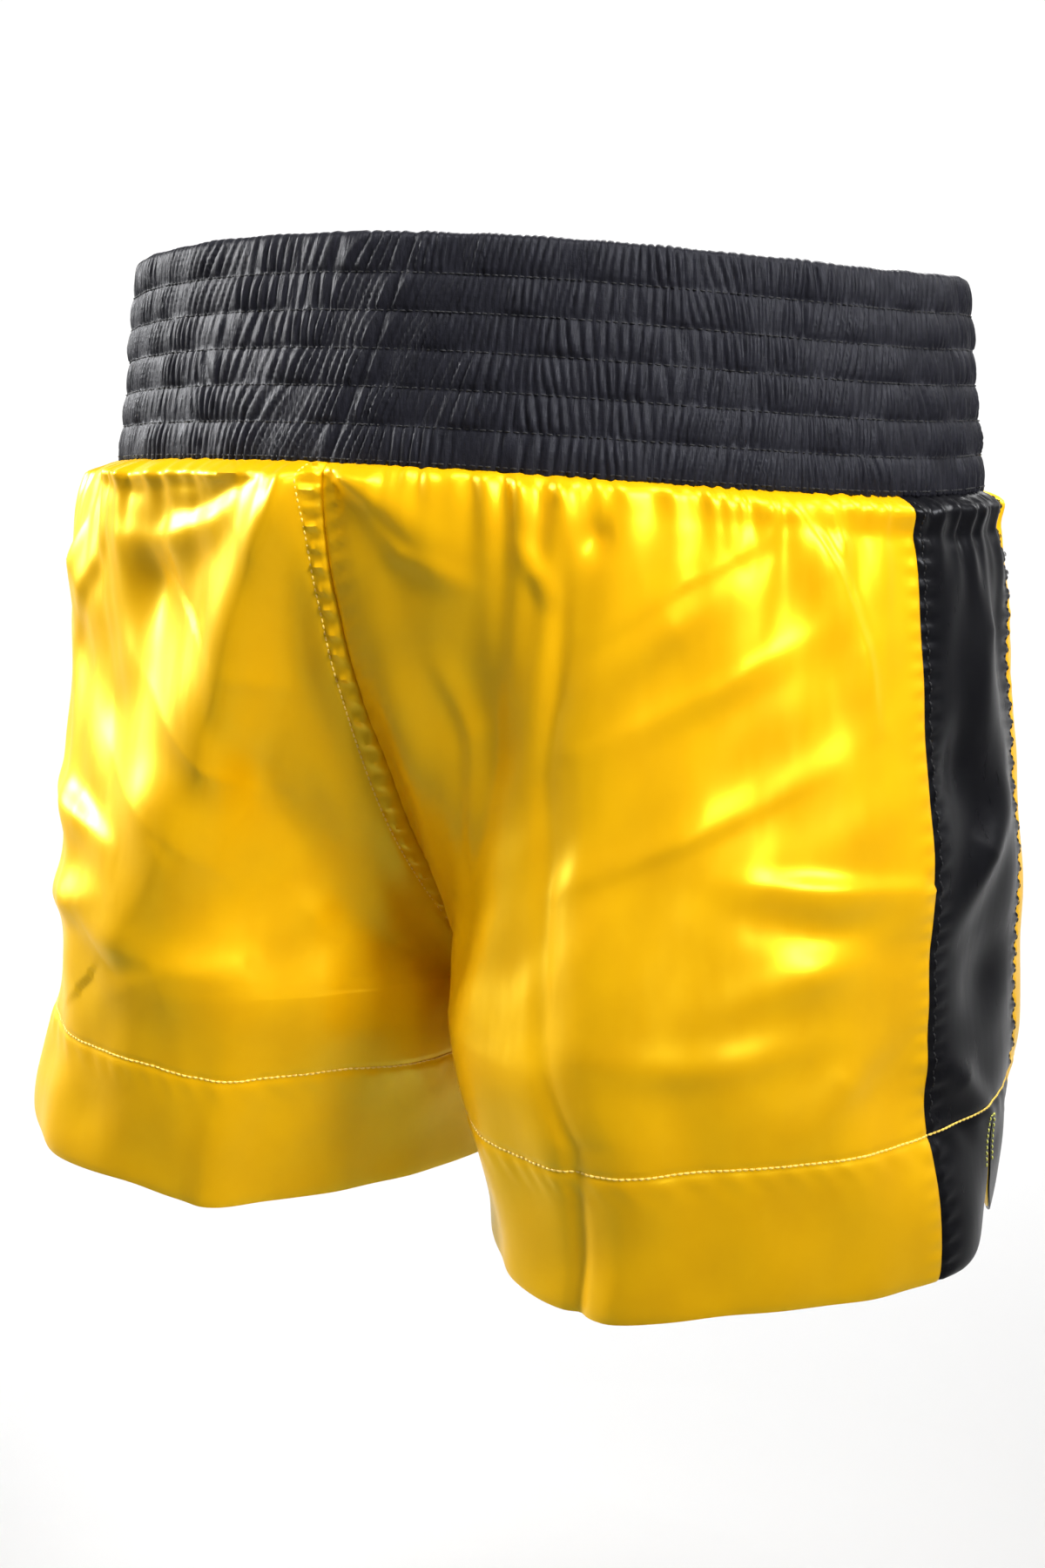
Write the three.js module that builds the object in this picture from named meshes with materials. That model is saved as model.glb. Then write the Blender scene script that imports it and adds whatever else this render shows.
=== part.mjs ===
// Boxing shorts: two-tone satin shorts with a wide gathered waistband and vented legs.
// Millimetres, +Z up. The wearer's front faces -Y and the wearer's left is +X.
// The origin is the middle of the waist opening, level with the band's top edge at the sides.
// Everything is laid out above the hem plane and lowered by GARMENT_HEIGHT at the end.
import * as THREE from 'three';

// Waistband
const BAND_TOP_WIDTH = 345;
const BAND_TOP_DEPTH = 248;
const BAND_BASE_WIDTH = 361;
const BAND_BASE_DEPTH = 279;
const BAND_HEIGHT = 76;
const BAND_TOP_TILT = 12.4; // how far the top edge is raised at the back and lowered at the front
const BAND_BASE_TILT = 9.8; // the same for the seam that joins the band to the panels
const CHANNEL_COUNT = 6;
const CHANNEL_BULGE = 1.5; // how far each channel swells past the stitched valleys
const CHANNEL_SHOULDER = 0.2; // share of a channel's height over which it swells
const CASING_WALL = 0.9; // least thickness of each skin of the casing
const ELASTIC_THICKNESS = 1.2;
const ELASTIC_SIDE_CLEARANCE = 0.4; // between an elastic and either skin
const ELASTIC_EDGE_CLEARANCE = 1.2; // between an elastic's edge and the channel's stitching

// Body and legs
const GARMENT_HEIGHT = 357; // hem plane to the band's top edge, at the sides
const HIP_WIDTH = 392;
const HIP_DEPTH = 292;
const CROTCH_HEIGHT = 85; // above the hem plane, which is the inside leg length
const RISE_ROUNDNESS = 1.5; // exponent of the crotch curve: 2 is an ellipse, less is straighter
const THIGH_DEPTH = 268; // front to back of each leg where it leaves the body
const LEG_WIDTH = 185;
const LEG_DEPTH = 250;
const LEG_SPREAD = 36; // clear space between the legs at the hem
const LEG_SET_BACK = 8.6; // how far the legs sit behind the middle of the waist
const VENT_SET_FORWARD = 5; // how far the vents sit in front of it
const HEM_SIDE_RISE = 6; // how far the hem climbs towards the vents
const HEM_DEPTH = 52; // hem edge to the hem stitching
const GATHER_LENGTH = 14; // how quickly the cloth swells out under the waistband

// Side panels and vents
const SIDE_PANEL_TOP_WIDTH = 78;
const SIDE_PANEL_HEM_WIDTH = 90;
const VENT_OPENING = 8; // width of the vent at the hem
const VENT_BELOW_STITCH = 3; // hem stitching to the top of the vent
const VENT_CORNER_RADIUS = 28;

// Cloth, thread and clearances
const CLOTH_THICKNESS = 1;
const PIECE_GAP = 0.3; // between cloth pieces that are sewn edge to edge
const FACING_GAP = 0.5; // between a hem facing and the panels outside it
const FACING_INSET = 0.7; // hem edge or vent edge to the facing's edge
const FACING_ABOVE_STITCH = 2;
const THREAD_WIDTH = 0.9;
const THREAD_HEIGHT = 0.6;
const THREAD_STANDOFF = 0.6; // cloth to the underside of a thread
const SIDE_STITCH_INSET = 2.5; // side seam to its topstitching
const STITCH_END_GAP = 2; // end of a seam's topstitching to the waistband or hem stitching
const SEAM_STITCH_INSET = 7; // centre seam or inside leg seam to its topstitching
const CENTRE_STITCH_END = 0.92; // share of the way to the crotch
const INSEAM_STITCH_START = 0.15; // share of the inside leg left unstitched below the crotch
const VENT_STITCH_INSET = 3;

// How finely the soft surfaces are cut into flat faces
const BAND_SEGMENTS = 36;
const PANEL_COLUMNS = 10;
const BODY_ROWS = [0, 0.023, 0.07, 0.15, 0.26, 0.38, 0.51, 0.64, 0.77, 0.89, 1]; // to the crotch
const THIGH_ROWS = [0.5, 1]; // from the crotch to the hem stitching
const HEM_ROWS = [1 / 3, 2 / 3, 1]; // from the top of the vent to the hem
const FLAP_COLUMNS = [0, 0.08, 0.25, 0.55, 1]; // shares of a flap's width, from the vent outwards
const ARC_STEP = 0.004;
const PROBE = 1e-4;

const { lerp, smoothstep } = THREE.MathUtils;
const SIDE_ANGLE = Math.PI / 2;
const SEAM_HEIGHT = GARMENT_HEIGHT - BAND_HEIGHT;
const SIDE_LENGTH = SEAM_HEIGHT - HEM_SIDE_RISE;
const CROTCH_ROW = 1 - CROTCH_HEIGHT / SEAM_HEIGHT;
const STITCH_ROW = 1 - HEM_DEPTH / SEAM_HEIGHT;
const VENT_ROW = STITCH_ROW + VENT_BELOW_STITCH / SIDE_LENGTH;
const GATHER_ROW = GATHER_LENGTH / SIDE_LENGTH;
const CHANNEL_PITCH = (BAND_HEIGHT - PIECE_GAP) / CHANNEL_COUNT;
const SLOT_WIDTH = ELASTIC_THICKNESS + 2 * ELASTIC_SIDE_CLEARANCE;

function satin(color, roughness) {
  return new THREE.MeshStandardMaterial({ color, roughness, metalness: 0 });
}
const YELLOW_SATIN = satin(0xe8b70c, 0.38);
const BLACK_SATIN = satin(0x17171a, 0.42);
const BAND_SATIN = satin(0x2b2b30, 0.5);
const ELASTIC = satin(0x202022, 0.85);
const YELLOW_THREAD = satin(0xf2c53a, 0.6);
const BLACK_THREAD = satin(0x101012, 0.65);

// Minus one at the centre front, nought at the sides and one at the centre back.
function backness(angle) {
  return -Math.cos(angle) * Math.abs(Math.cos(angle));
}

// One half of the garment, on the side of +X. The angle runs from the centre front (0) round
// the side to the centre back (pi), and the row from the waist seam (0) to the hem (1). Above
// the crotch a ring fades from half a waist ellipse to a leg's oval; below, it is a whole leg.
function clothSurface(angle, row) {
  const turn = Math.min(1, row / CROTCH_ROW) * Math.PI / 2;
  const waistShare = Math.pow(Math.abs(Math.cos(turn)), 2 / RISE_ROUNDNESS);
  const dropShare = Math.pow(Math.sin(turn), 2 / RISE_ROUNDNESS);
  const legShare = smoothstep(row, CROTCH_ROW, 1);
  const flare = 1 - Math.exp(-row / GATHER_ROW);
  const waistX = lerp(BAND_BASE_WIDTH, HIP_WIDTH, flare) / 2;
  const waistY = lerp(BAND_BASE_DEPTH, HIP_DEPTH, flare) / 2;
  const legX = lerp(HIP_WIDTH / 2, LEG_WIDTH, legShare) / 2;
  const legY = lerp(THIGH_DEPTH, LEG_DEPTH, legShare) / 2;
  const legCentre = legX + legShare * LEG_SPREAD / 2;
  const x = lerp(legCentre - legX * Math.cos(2 * angle), waistX * Math.sin(angle), waistShare);
  const y = lerp(-legY * Math.sin(2 * angle), -waistY * Math.cos(angle), waistShare);
  const tilt = angle < SIDE_ANGLE ? -BAND_BASE_TILT : BAND_BASE_TILT;
  const legHeight = CROTCH_HEIGHT * (1 - Math.max(0, row - CROTCH_ROW) / (1 - CROTCH_ROW));
  const innerZ = row < CROTCH_ROW ? lerp(SEAM_HEIGHT + tilt, CROTCH_HEIGHT, dropShare) : legHeight;
  const sideZ = lerp(SEAM_HEIGHT, HEM_SIDE_RISE, row);
  const z = lerp(innerZ, sideZ, Math.sin(angle) ** 2);
  const shift = lerp(LEG_SET_BACK, -VENT_SET_FORWARD, Math.sin(angle) ** 4);
  return new THREE.Vector3(x, y + shift * smoothstep(row, 0, 1), z);
}

function clothNormal(angle, row) {
  const low = Math.max(0, row - PROBE);
  const high = Math.min(1, row + PROBE);
  const across = clothSurface(Math.min(Math.PI, angle + PROBE), row);
  across.sub(clothSurface(Math.max(0, angle - PROBE), row));
  const up = clothSurface(angle, low).sub(clothSurface(angle, high));
  const normal = across.cross(up);
  if (row === 0) normal.setZ(0); // the top edge stays level with the waistband's seam
  return normal.normalize();
}

// A point this far under the outside of the cloth; a negative depth stands off it.
function clothPoint(angle, row, depth) {
  return clothSurface(angle, row).addScaledVector(clothNormal(angle, row), -depth);
}

// The angle reached by walking a distance along a row from a start angle.
function angleAlong(row, start, distance) {
  const step = distance < 0 ? -ARC_STEP : ARC_STEP;
  let angle = start;
  let left = Math.abs(distance);
  let here = clothSurface(angle, row);
  for (;;) {
    const next = clothSurface(angle + step, row);
    const length = next.distanceTo(here);
    if (length >= left) return angle + step * left / length;
    left -= length;
    angle += step;
    here = next;
  }
}

function sidePanelHalfWidth(row) {
  return lerp(SIDE_PANEL_TOP_WIDTH, SIDE_PANEL_HEM_WIDTH, row) / 2;
}

function ventHalfWidth(row) {
  return VENT_OPENING / 2 * Math.max(0, row - VENT_ROW) / (1 - VENT_ROW);
}

// How far the rounded bottom corner of a flap lifts the hem, this far from the vent.
function cornerLift(distance) {
  const reach = Math.max(0, VENT_CORNER_RADIUS - distance);
  return VENT_CORNER_RADIUS - Math.sqrt(VENT_CORNER_RADIUS ** 2 - reach ** 2);
}

// Rows shared by every cloth piece: the crotch, the hem stitching, the top of the vent, the hem.
const UPPER_ROWS = [
  ...BODY_ROWS.map((share) => share * CROTCH_ROW),
  ...THIGH_ROWS.map((share) => lerp(CROTCH_ROW, STITCH_ROW, share)),
  VENT_ROW,
];
const VENT_ROW_INDEX = UPPER_ROWS.length - 1;
const ROW_COUNT = UPPER_ROWS.length + HEM_ROWS.length;

function rowValue(index, hemRow) {
  if (index <= VENT_ROW_INDEX) return UPPER_ROWS[index];
  return lerp(VENT_ROW, hemRow, HEM_ROWS[index - VENT_ROW_INDEX - 1]);
}

// A closed sheet: quads of point numbers seen from outside, with an outer and an inner skin
// and a wall along every edge that only one quad uses.
function sheetGeometry(quads, outer, inner) {
  const count = outer.length;
  const triangles = [];
  const edges = new Set();
  for (const quad of quads) {
    quad.forEach((from, k) => edges.add(`${from},${quad[(k + 1) % 4]}`));
  }
  for (const [a, b, c, d] of quads) {
    triangles.push([a, b, c], [a, c, d]);
    triangles.push([a + count, c + count, b + count], [a + count, d + count, c + count]);
  }
  for (const edge of edges) {
    const [from, to] = edge.split(',').map(Number);
    if (!edges.has(`${to},${from}`)) {
      triangles.push([to, from, from + count], [to, from + count, to + count]);
    }
  }
  return meshGeometry([...outer, ...inner], triangles);
}

function meshGeometry(points, triangles) {
  const geometry = new THREE.BufferGeometry();
  geometry.setAttribute('position', new THREE.Float32BufferAttribute(points.flatMap((p) => [p.x, p.y, p.z]), 3));
  geometry.setIndex(triangles.flat());
  geometry.computeVertexNormals();
  return geometry;
}

// A sheet laid on the cloth surface. place(column, row index, depth) gives a point on the
// side of +X with columns running towards the back; slit columns share one point above the vent.
function clothSheet(side, columns, rows, place, depth, slit = null) {
  const number = (column, row) => {
    const joined = slit !== null && column === slit + 1 && row <= VENT_ROW_INDEX;
    return row * (columns + 1) + (joined ? slit : column);
  };
  const quads = [];
  for (let row = 0; row < rows; row += 1) {
    for (let column = 0; column < columns; column += 1) {
      if (column === slit) continue;
      const quad = [
        number(column, row + 1),
        number(column + 1, row + 1),
        number(column + 1, row),
        number(column, row),
      ];
      quads.push(side > 0 ? quad : quad.reverse());
    }
  }
  const skin = (under) => {
    const points = [];
    for (let row = 0; row <= rows; row += 1) {
      for (let column = 0; column <= columns; column += 1) {
        const point = place(column, row, under);
        points.push(point.setX(point.x * side));
      }
    }
    return points;
  };
  return usedPointsOnly(quads, skin(depth), skin(depth + CLOTH_THICKNESS));
}

// Drops the points that no quad uses, so that the sheet is one body.
function usedPointsOnly(quads, outer, inner) {
  const used = [...new Set(quads.flat())].sort((a, b) => a - b);
  const renumber = new Map(used.map((old, index) => [old, index]));
  const pick = (points) => used.map((old) => points[old]);
  return sheetGeometry(quads.map((quad) => quad.map((n) => renumber.get(n))), pick(outer), pick(inner));
}

// Columns of a main panel, from its centre seam and inside leg (0) to its side seam. Column 1
// carries the stitching that runs beside the seam.
function panelAngle(facing, row, column) {
  const centre = facing < 0 ? 0 : Math.PI;
  if (column === 0) return centre;
  const stitched = angleAlong(row, centre, -facing * SEAM_STITCH_INSET);
  const sideSeam = angleAlong(row, SIDE_ANGLE, facing * sidePanelHalfWidth(row));
  return lerp(stitched, sideSeam, (column - 1) / (PANEL_COLUMNS - 1));
}

// A front panel (facing -1) or back panel (facing 1), from the centre seam to the side seam.
function mainPanel(side, facing) {
  const place = (column, index, depth) => {
    const row = rowValue(index, 1);
    const fromCentre = facing < 0 ? column : PANEL_COLUMNS - column;
    const point = clothPoint(panelAngle(facing, row, fromCentre), row, depth);
    return point.add(new THREE.Vector3(PIECE_GAP / 2, facing * PIECE_GAP / 2, 0));
  };
  return clothSheet(side, PANEL_COLUMNS, ROW_COUNT - 1, place, 0);
}

// A place on one flap beside the vent: share 0 is the vent's edge and 1 the side seam.
function flapPlace(facing, share, index, inset) {
  const widthAtHem = sidePanelHalfWidth(1) - ventHalfWidth(1);
  const hemRow = 1 - (cornerLift(share * widthAtHem) + inset) / SIDE_LENGTH;
  const row = rowValue(index, hemRow);
  const edge = ventHalfWidth(row) + inset;
  const distance = lerp(edge, sidePanelHalfWidth(row) - PIECE_GAP / 2, share);
  return { angle: angleAlong(row, SIDE_ANGLE, facing * distance), row };
}

function sidePanel(side) {
  const flap = FLAP_COLUMNS.length - 1;
  const place = (column, index, depth) => {
    const facing = column <= flap ? -1 : 1;
    const share = FLAP_COLUMNS[column <= flap ? flap - column : column - flap - 1];
    const { angle, row } = flapPlace(facing, share, index, 0);
    return clothPoint(angle, row, depth);
  };
  return clothSheet(side, 2 * flap + 1, ROW_COUNT - 1, place, 0, flap);
}

// The columns of the hem, from the vent's front edge round the inside leg to its back edge.
function hemColumns() {
  const columns = [];
  for (const facing of [-1, 1]) {
    const half = [];
    FLAP_COLUMNS.forEach((share) => half.push({ facing, flapShare: share }));
    for (let column = PANEL_COLUMNS - 1; column >= 0; column -= 1) {
      half.push({ facing, panelColumn: column });
    }
    if (facing < 0) columns.push(...half);
    else columns.push(...half.reverse().slice(1));
  }
  return columns;
}

function hemPlace(column, index, inset) {
  if (column.flapShare !== undefined) {
    return flapPlace(column.facing, column.flapShare, index, inset);
  }
  const row = rowValue(index, 1 - inset / SIDE_LENGTH);
  return { angle: panelAngle(column.facing, row, column.panelColumn), row };
}

function hemFacing(side) {
  const columns = hemColumns();
  const first = VENT_ROW_INDEX - 1;
  const place = (column, index, depth) => {
    const spot = hemPlace(columns[column], index + first, FACING_INSET);
    if (index === 0) spot.row -= FACING_ABOVE_STITCH / SIDE_LENGTH;
    return clothPoint(spot.angle, spot.row, depth);
  };
  const depth = CLOTH_THICKNESS + FACING_GAP;
  return clothSheet(-side, columns.length - 1, ROW_COUNT - 1 - first, place, depth)
    .scale(-1, 1, 1);
}

// A thread with a three-sided section, lying along points with outward normals.
function threadGeometry(points, normals, closed) {
  const last = points.length - 1;
  const ring = [];
  points.forEach((point, k) => {
    const before = points[k > 0 ? k - 1 : (closed ? last : 0)];
    const after = points[k < last ? k + 1 : (closed ? 0 : last)];
    const along = after.clone().sub(before).normalize();
    const across = normals[k].clone().cross(along).normalize().multiplyScalar(THREAD_WIDTH / 2);
    ring.push(point.clone().sub(across));
    ring.push(point.clone().add(across));
    ring.push(point.clone().addScaledVector(normals[k], THREAD_HEIGHT));
  });
  const triangles = [];
  const spans = closed ? points.length : last;
  for (let k = 0; k < spans; k += 1) {
    const here = 3 * k;
    const next = 3 * ((k + 1) % points.length);
    for (let i = 0; i < 3; i += 1) {
      const j = (i + 1) % 3;
      triangles.push([here + i, here + j, next + j], [here + i, next + j, next + i]);
    }
  }
  if (!closed) triangles.push([0, 2, 1], [3 * last, 3 * last + 1, 3 * last + 2]);
  return meshGeometry(ring, triangles);
}

// A thread along spots on the cloth, on the side of +X or mirrored to the other side.
function clothThread(side, spots) {
  const points = spots.map(({ angle, row }) => clothPoint(angle, row, -THREAD_STANDOFF));
  const normals = spots.map(({ angle, row }) => clothNormal(angle, row));
  if (side < 0) {
    points.forEach((point) => point.setX(-point.x));
    normals.forEach((normal) => normal.setX(-normal.x));
  }
  return threadGeometry(points, normals, false);
}

function hemStitch(side) {
  const columns = hemColumns();
  return clothThread(side, columns.map((column) => hemPlace(column, VENT_ROW_INDEX - 1, PIECE_GAP)));
}

// Down the front flap's edge in reverse, over the top of the vent and down the back flap's edge.
function ventStitch(side) {
  const spots = [];
  for (const facing of [-1, 1]) {
    const half = [];
    for (let index = VENT_ROW_INDEX; index < ROW_COUNT; index += 1) {
      const hemRow = 1 - cornerLift(0) / SIDE_LENGTH;
      const row = rowValue(index, hemRow);
      const distance = ventHalfWidth(row) + VENT_STITCH_INSET;
      half.push({ angle: angleAlong(row, SIDE_ANGLE, facing * distance), row });
    }
    spots.push(...(facing < 0 ? half.reverse() : half));
  }
  return clothThread(side, spots);
}

// The rows of a seam's topstitching, which stops just short of the stitching that it meets.
const FIRST_STITCH_ROW = STITCH_END_GAP / SIDE_LENGTH;
const LAST_STITCH_ROW = STITCH_ROW - STITCH_END_GAP / SIDE_LENGTH;
function stitchRows(start, end) {
  return [start, ...UPPER_ROWS.filter((row) => row > start && row < end), end];
}

function sideSeamStitch(side, facing) {
  const spots = stitchRows(FIRST_STITCH_ROW, LAST_STITCH_ROW).map((row) => {
    const distance = facing * (sidePanelHalfWidth(row) - SIDE_STITCH_INSET);
    return { angle: angleAlong(row, SIDE_ANGLE, distance), row };
  });
  return clothThread(side, spots);
}

// Along the centre seam, on the wearer's left, from the waist seam to just short of the crotch.
function centreStitch(facing) {
  const rows = stitchRows(FIRST_STITCH_ROW, CROTCH_ROW * CENTRE_STITCH_END);
  return clothThread(1, rows.map((row) => ({ angle: panelAngle(facing, row, 1), row })));
}

// From where the legs have parted far enough to leave room for a thread on each, to the hem.
function inseamStitch(side) {
  const rows = stitchRows(lerp(CROTCH_ROW, 1, INSEAM_STITCH_START), LAST_STITCH_ROW);
  return clothThread(side, rows.map((row) => ({ angle: panelAngle(1, row, 1), row })));
}

// A point of the waistband: height runs down from the top edge, depth in from the outside.
function bandPoint(angle, drop, depth) {
  const share = drop / BAND_HEIGHT;
  const halfWidth = lerp(BAND_TOP_WIDTH, BAND_BASE_WIDTH, share) / 2;
  const halfDepth = lerp(BAND_TOP_DEPTH, BAND_BASE_DEPTH, share) / 2;
  const normal = bandNormal(angle, halfWidth, halfDepth);
  const tilt = lerp(BAND_TOP_TILT, BAND_BASE_TILT, share) * backness(angle);
  return new THREE.Vector3(
    halfWidth * Math.sin(angle) - depth * normal.x,
    -halfDepth * Math.cos(angle) - depth * normal.y,
    GARMENT_HEIGHT - drop + tilt,
  );
}

function bandNormal(angle, halfWidth, halfDepth) {
  return new THREE.Vector3(halfDepth * Math.sin(angle), -halfWidth * Math.cos(angle), 0).normalize();
}

function bandAngle(segment) {
  return 2 * Math.PI * segment / BAND_SEGMENTS;
}

// A closed ring swept round the waist from a section of [drop, depth] corners. The corners run
// round the section with the cloth on their left, looking at it with the outside to the left.
function bandRing(section) {
  const points = [];
  const triangles = [];
  const count = section.length;
  for (let segment = 0; segment < BAND_SEGMENTS; segment += 1) {
    section.forEach(([drop, depth]) => points.push(bandPoint(bandAngle(segment), drop, depth)));
    const here = segment * count;
    const next = ((segment + 1) % BAND_SEGMENTS) * count;
    for (let i = 0; i < count; i += 1) {
      const j = (i + 1) % count;
      triangles.push([here + i, here + j, next + j], [here + i, next + j, next + i]);
    }
  }
  return meshGeometry(points, triangles);
}

// The casing is one strip folded over at the top, with an open slot below for the elastics.
function casing() {
  const slotOuter = CHANNEL_BULGE + CASING_WALL;
  const slotInner = slotOuter + SLOT_WIDTH;
  const innerFace = slotInner + CASING_WALL + CHANNEL_BULGE;
  const bottom = CHANNEL_COUNT * CHANNEL_PITCH;
  const shoulder = CHANNEL_SHOULDER * CHANNEL_PITCH;
  const outside = [[0, CHANNEL_BULGE]];
  for (let channel = 0; channel < CHANNEL_COUNT; channel += 1) {
    const top = channel * CHANNEL_PITCH;
    outside.push([top + shoulder, 0], [top + CHANNEL_PITCH - shoulder, 0]);
    outside.push([top + CHANNEL_PITCH, CHANNEL_BULGE]);
  }
  const inside = outside.map(([drop, depth]) => [drop, innerFace - depth]).reverse();
  const slotTop = CASING_WALL;
  const slot = [[bottom, slotOuter], [slotTop, slotOuter], [slotTop, slotInner], [bottom, slotInner]];
  return bandRing([...outside, ...slot, ...inside]);
}

function elastic(channel) {
  const top = channel * CHANNEL_PITCH + ELASTIC_EDGE_CLEARANCE;
  const bottom = (channel + 1) * CHANNEL_PITCH - ELASTIC_EDGE_CLEARANCE;
  const near = CHANNEL_BULGE + CASING_WALL + ELASTIC_SIDE_CLEARANCE;
  const far = near + ELASTIC_THICKNESS;
  return bandRing([[top, near], [bottom, near], [bottom, far], [top, far]]);
}

// The stitch row under a channel, lying in the valley of the casing's outside. The last row
// holds the casing to the panels, so it sits just above the casing's lower edge.
function channelStitch(channel) {
  const raised = channel === CHANNEL_COUNT - 1 ? THREAD_WIDTH : 0;
  const drop = (channel + 1) * CHANNEL_PITCH - raised;
  const slope = CHANNEL_BULGE / (CHANNEL_SHOULDER * CHANNEL_PITCH);
  const depth = CHANNEL_BULGE - slope * (raised + THREAD_WIDTH / 2) - THREAD_STANDOFF;
  return bandRing([
    [drop - THREAD_WIDTH / 2, depth],
    [drop, depth - THREAD_HEIGHT],
    [drop + THREAD_WIDTH / 2, depth],
  ]);
}

const shorts = new THREE.Group();
shorts.position.z = -GARMENT_HEIGHT;

function add(name, geometry, material) {
  const mesh = new THREE.Mesh(geometry, material);
  mesh.name = name;
  shorts.add(mesh);
}

add('waistband_casing', casing(), BAND_SATIN);
for (let channel = 0; channel < CHANNEL_COUNT; channel += 1) {
  add(`waist_elastic_${channel + 1}`, elastic(channel), ELASTIC);
  add(`channel_stitch_${channel + 1}`, channelStitch(channel), BLACK_THREAD);
}
for (const [hand, side] of [['left', 1], ['right', -1]]) {
  add(`front_panel_${hand}`, mainPanel(side, -1), YELLOW_SATIN);
  add(`back_panel_${hand}`, mainPanel(side, 1), YELLOW_SATIN);
  add(`side_panel_${hand}`, sidePanel(side), BLACK_SATIN);
  add(`hem_facing_${hand}`, hemFacing(side), YELLOW_SATIN);
  add(`hem_stitch_${hand}`, hemStitch(side), YELLOW_THREAD);
  add(`vent_stitch_${hand}`, ventStitch(side), YELLOW_THREAD);
  add(`front_side_stitch_${hand}`, sideSeamStitch(side, -1), BLACK_THREAD);
  add(`back_side_stitch_${hand}`, sideSeamStitch(side, 1), BLACK_THREAD);
  add(`inseam_stitch_${hand}`, inseamStitch(side), YELLOW_THREAD);
}
add('centre_front_stitch', centreStitch(-1), YELLOW_THREAD);
add('centre_back_stitch', centreStitch(1), YELLOW_THREAD);

const object = new THREE.Group();
object.add(shorts);

export default object;
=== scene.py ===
import math

import bpy
import numpy as np
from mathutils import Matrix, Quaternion, Vector


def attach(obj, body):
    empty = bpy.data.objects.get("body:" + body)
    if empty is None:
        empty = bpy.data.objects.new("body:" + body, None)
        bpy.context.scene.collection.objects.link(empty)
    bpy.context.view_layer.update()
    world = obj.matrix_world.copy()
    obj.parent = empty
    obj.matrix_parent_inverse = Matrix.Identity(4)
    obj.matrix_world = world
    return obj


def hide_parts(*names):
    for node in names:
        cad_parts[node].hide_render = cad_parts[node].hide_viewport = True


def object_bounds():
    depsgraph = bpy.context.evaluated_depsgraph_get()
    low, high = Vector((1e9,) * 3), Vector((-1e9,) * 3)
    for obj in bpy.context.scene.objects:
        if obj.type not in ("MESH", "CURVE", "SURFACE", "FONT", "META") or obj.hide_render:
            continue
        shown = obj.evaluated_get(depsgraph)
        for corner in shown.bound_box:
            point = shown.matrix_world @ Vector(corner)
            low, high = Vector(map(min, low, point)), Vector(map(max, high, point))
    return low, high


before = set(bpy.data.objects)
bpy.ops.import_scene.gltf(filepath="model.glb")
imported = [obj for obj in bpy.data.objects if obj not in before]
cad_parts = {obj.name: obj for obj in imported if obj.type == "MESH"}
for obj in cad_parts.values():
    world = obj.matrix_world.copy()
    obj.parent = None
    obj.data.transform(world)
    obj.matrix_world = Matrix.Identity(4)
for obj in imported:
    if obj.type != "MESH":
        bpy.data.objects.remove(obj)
cad_low, cad_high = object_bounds()
ELASTIC_COUNT = sum(name.startswith("waist_elastic_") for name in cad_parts)

# ---- Sizes. Shapes are worked out in millimetres and put into the meshes in metres. ----
MM = 0.001
GARMENT_HEIGHT = 357
BAND_TOP_WIDTH = 345
BAND_TOP_DEPTH = 248
BAND_BASE_WIDTH = 361
BAND_BASE_DEPTH = 279
BAND_HEIGHT = 76
BAND_TOP_TILT = 12.4
BAND_BASE_TILT = 9.8
BAND_THICKNESS = 6.8
CHANNEL_COUNT = 6
PIECE_GAP = 0.3
HIP_WIDTH = 392
HIP_DEPTH = 292
CROTCH_HEIGHT = 85
RISE_ROUNDNESS = 1.5
SIDE_FADE = 2.3
THIGH_DEPTH = 268
LEG_WIDTH = 185
LEG_DEPTH = 250
LEG_SPREAD = 36
LEG_SET_BACK = 8.6
VENT_SET_FORWARD = 5
HEM_SIDE_RISE = 6
HEM_DEPTH = 52
GATHER_LENGTH = 14
SIDE_PANEL_TOP_WIDTH = 78
SIDE_PANEL_HEM_WIDTH = 90
VENT_OPENING = 8
VENT_BELOW_STITCH = 3
VENT_CORNER_RADIUS = 28

SEAM_HEIGHT = GARMENT_HEIGHT - BAND_HEIGHT
SIDE_LENGTH = SEAM_HEIGHT - HEM_SIDE_RISE
CROTCH_ROW = 1 - CROTCH_HEIGHT / SEAM_HEIGHT
STITCH_ROW = 1 - HEM_DEPTH / SEAM_HEIGHT
VENT_ROW = STITCH_ROW + VENT_BELOW_STITCH / SIDE_LENGTH
GATHER_ROW = GATHER_LENGTH / SIDE_LENGTH
CHANNEL_PITCH = (BAND_HEIGHT - PIECE_GAP) / CHANNEL_COUNT
STITCH_HEIGHT = SIDE_LENGTH * (1 - STITCH_ROW)

SATIN_THICKNESS = 0.6
HALF_GAP = 0.06
LINING_DEPTH = 1.0
LINING_THICKNESS = 0.45
LINING_INSET = 0.9
LINING_ABOVE_STITCH = 2
SEAM_STITCH_INSET = 7
SIDE_STITCH_INSET = 2.5
VENT_STITCH_INSET = 2.2
STITCH_END_GAP = 2
CENTRE_STITCH_END = 0.92
INSEAM_STITCH_START = 0.15

# The cloth's length round the hips to a degree, and round a panel or the band to a radian.
MM_PER_DEGREE = 3.3
MM_PER_RADIAN = 150
HALF_ROUND = 180 * MM_PER_DEGREE


# ---- The camera, the floor and the lights ----
CAMERA_AIM = Vector((0.0035, 0.0022, -0.2011))
CAMERA_AZIMUTH = 212.21
CAMERA_ELEVATION = 10.14
CAMERA_DISTANCE = 1.0147
CAMERA_ROLL = 0.63
CAMERA_LENS = 57.41
FLOOR_BELOW_HEM = 0.6


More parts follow.
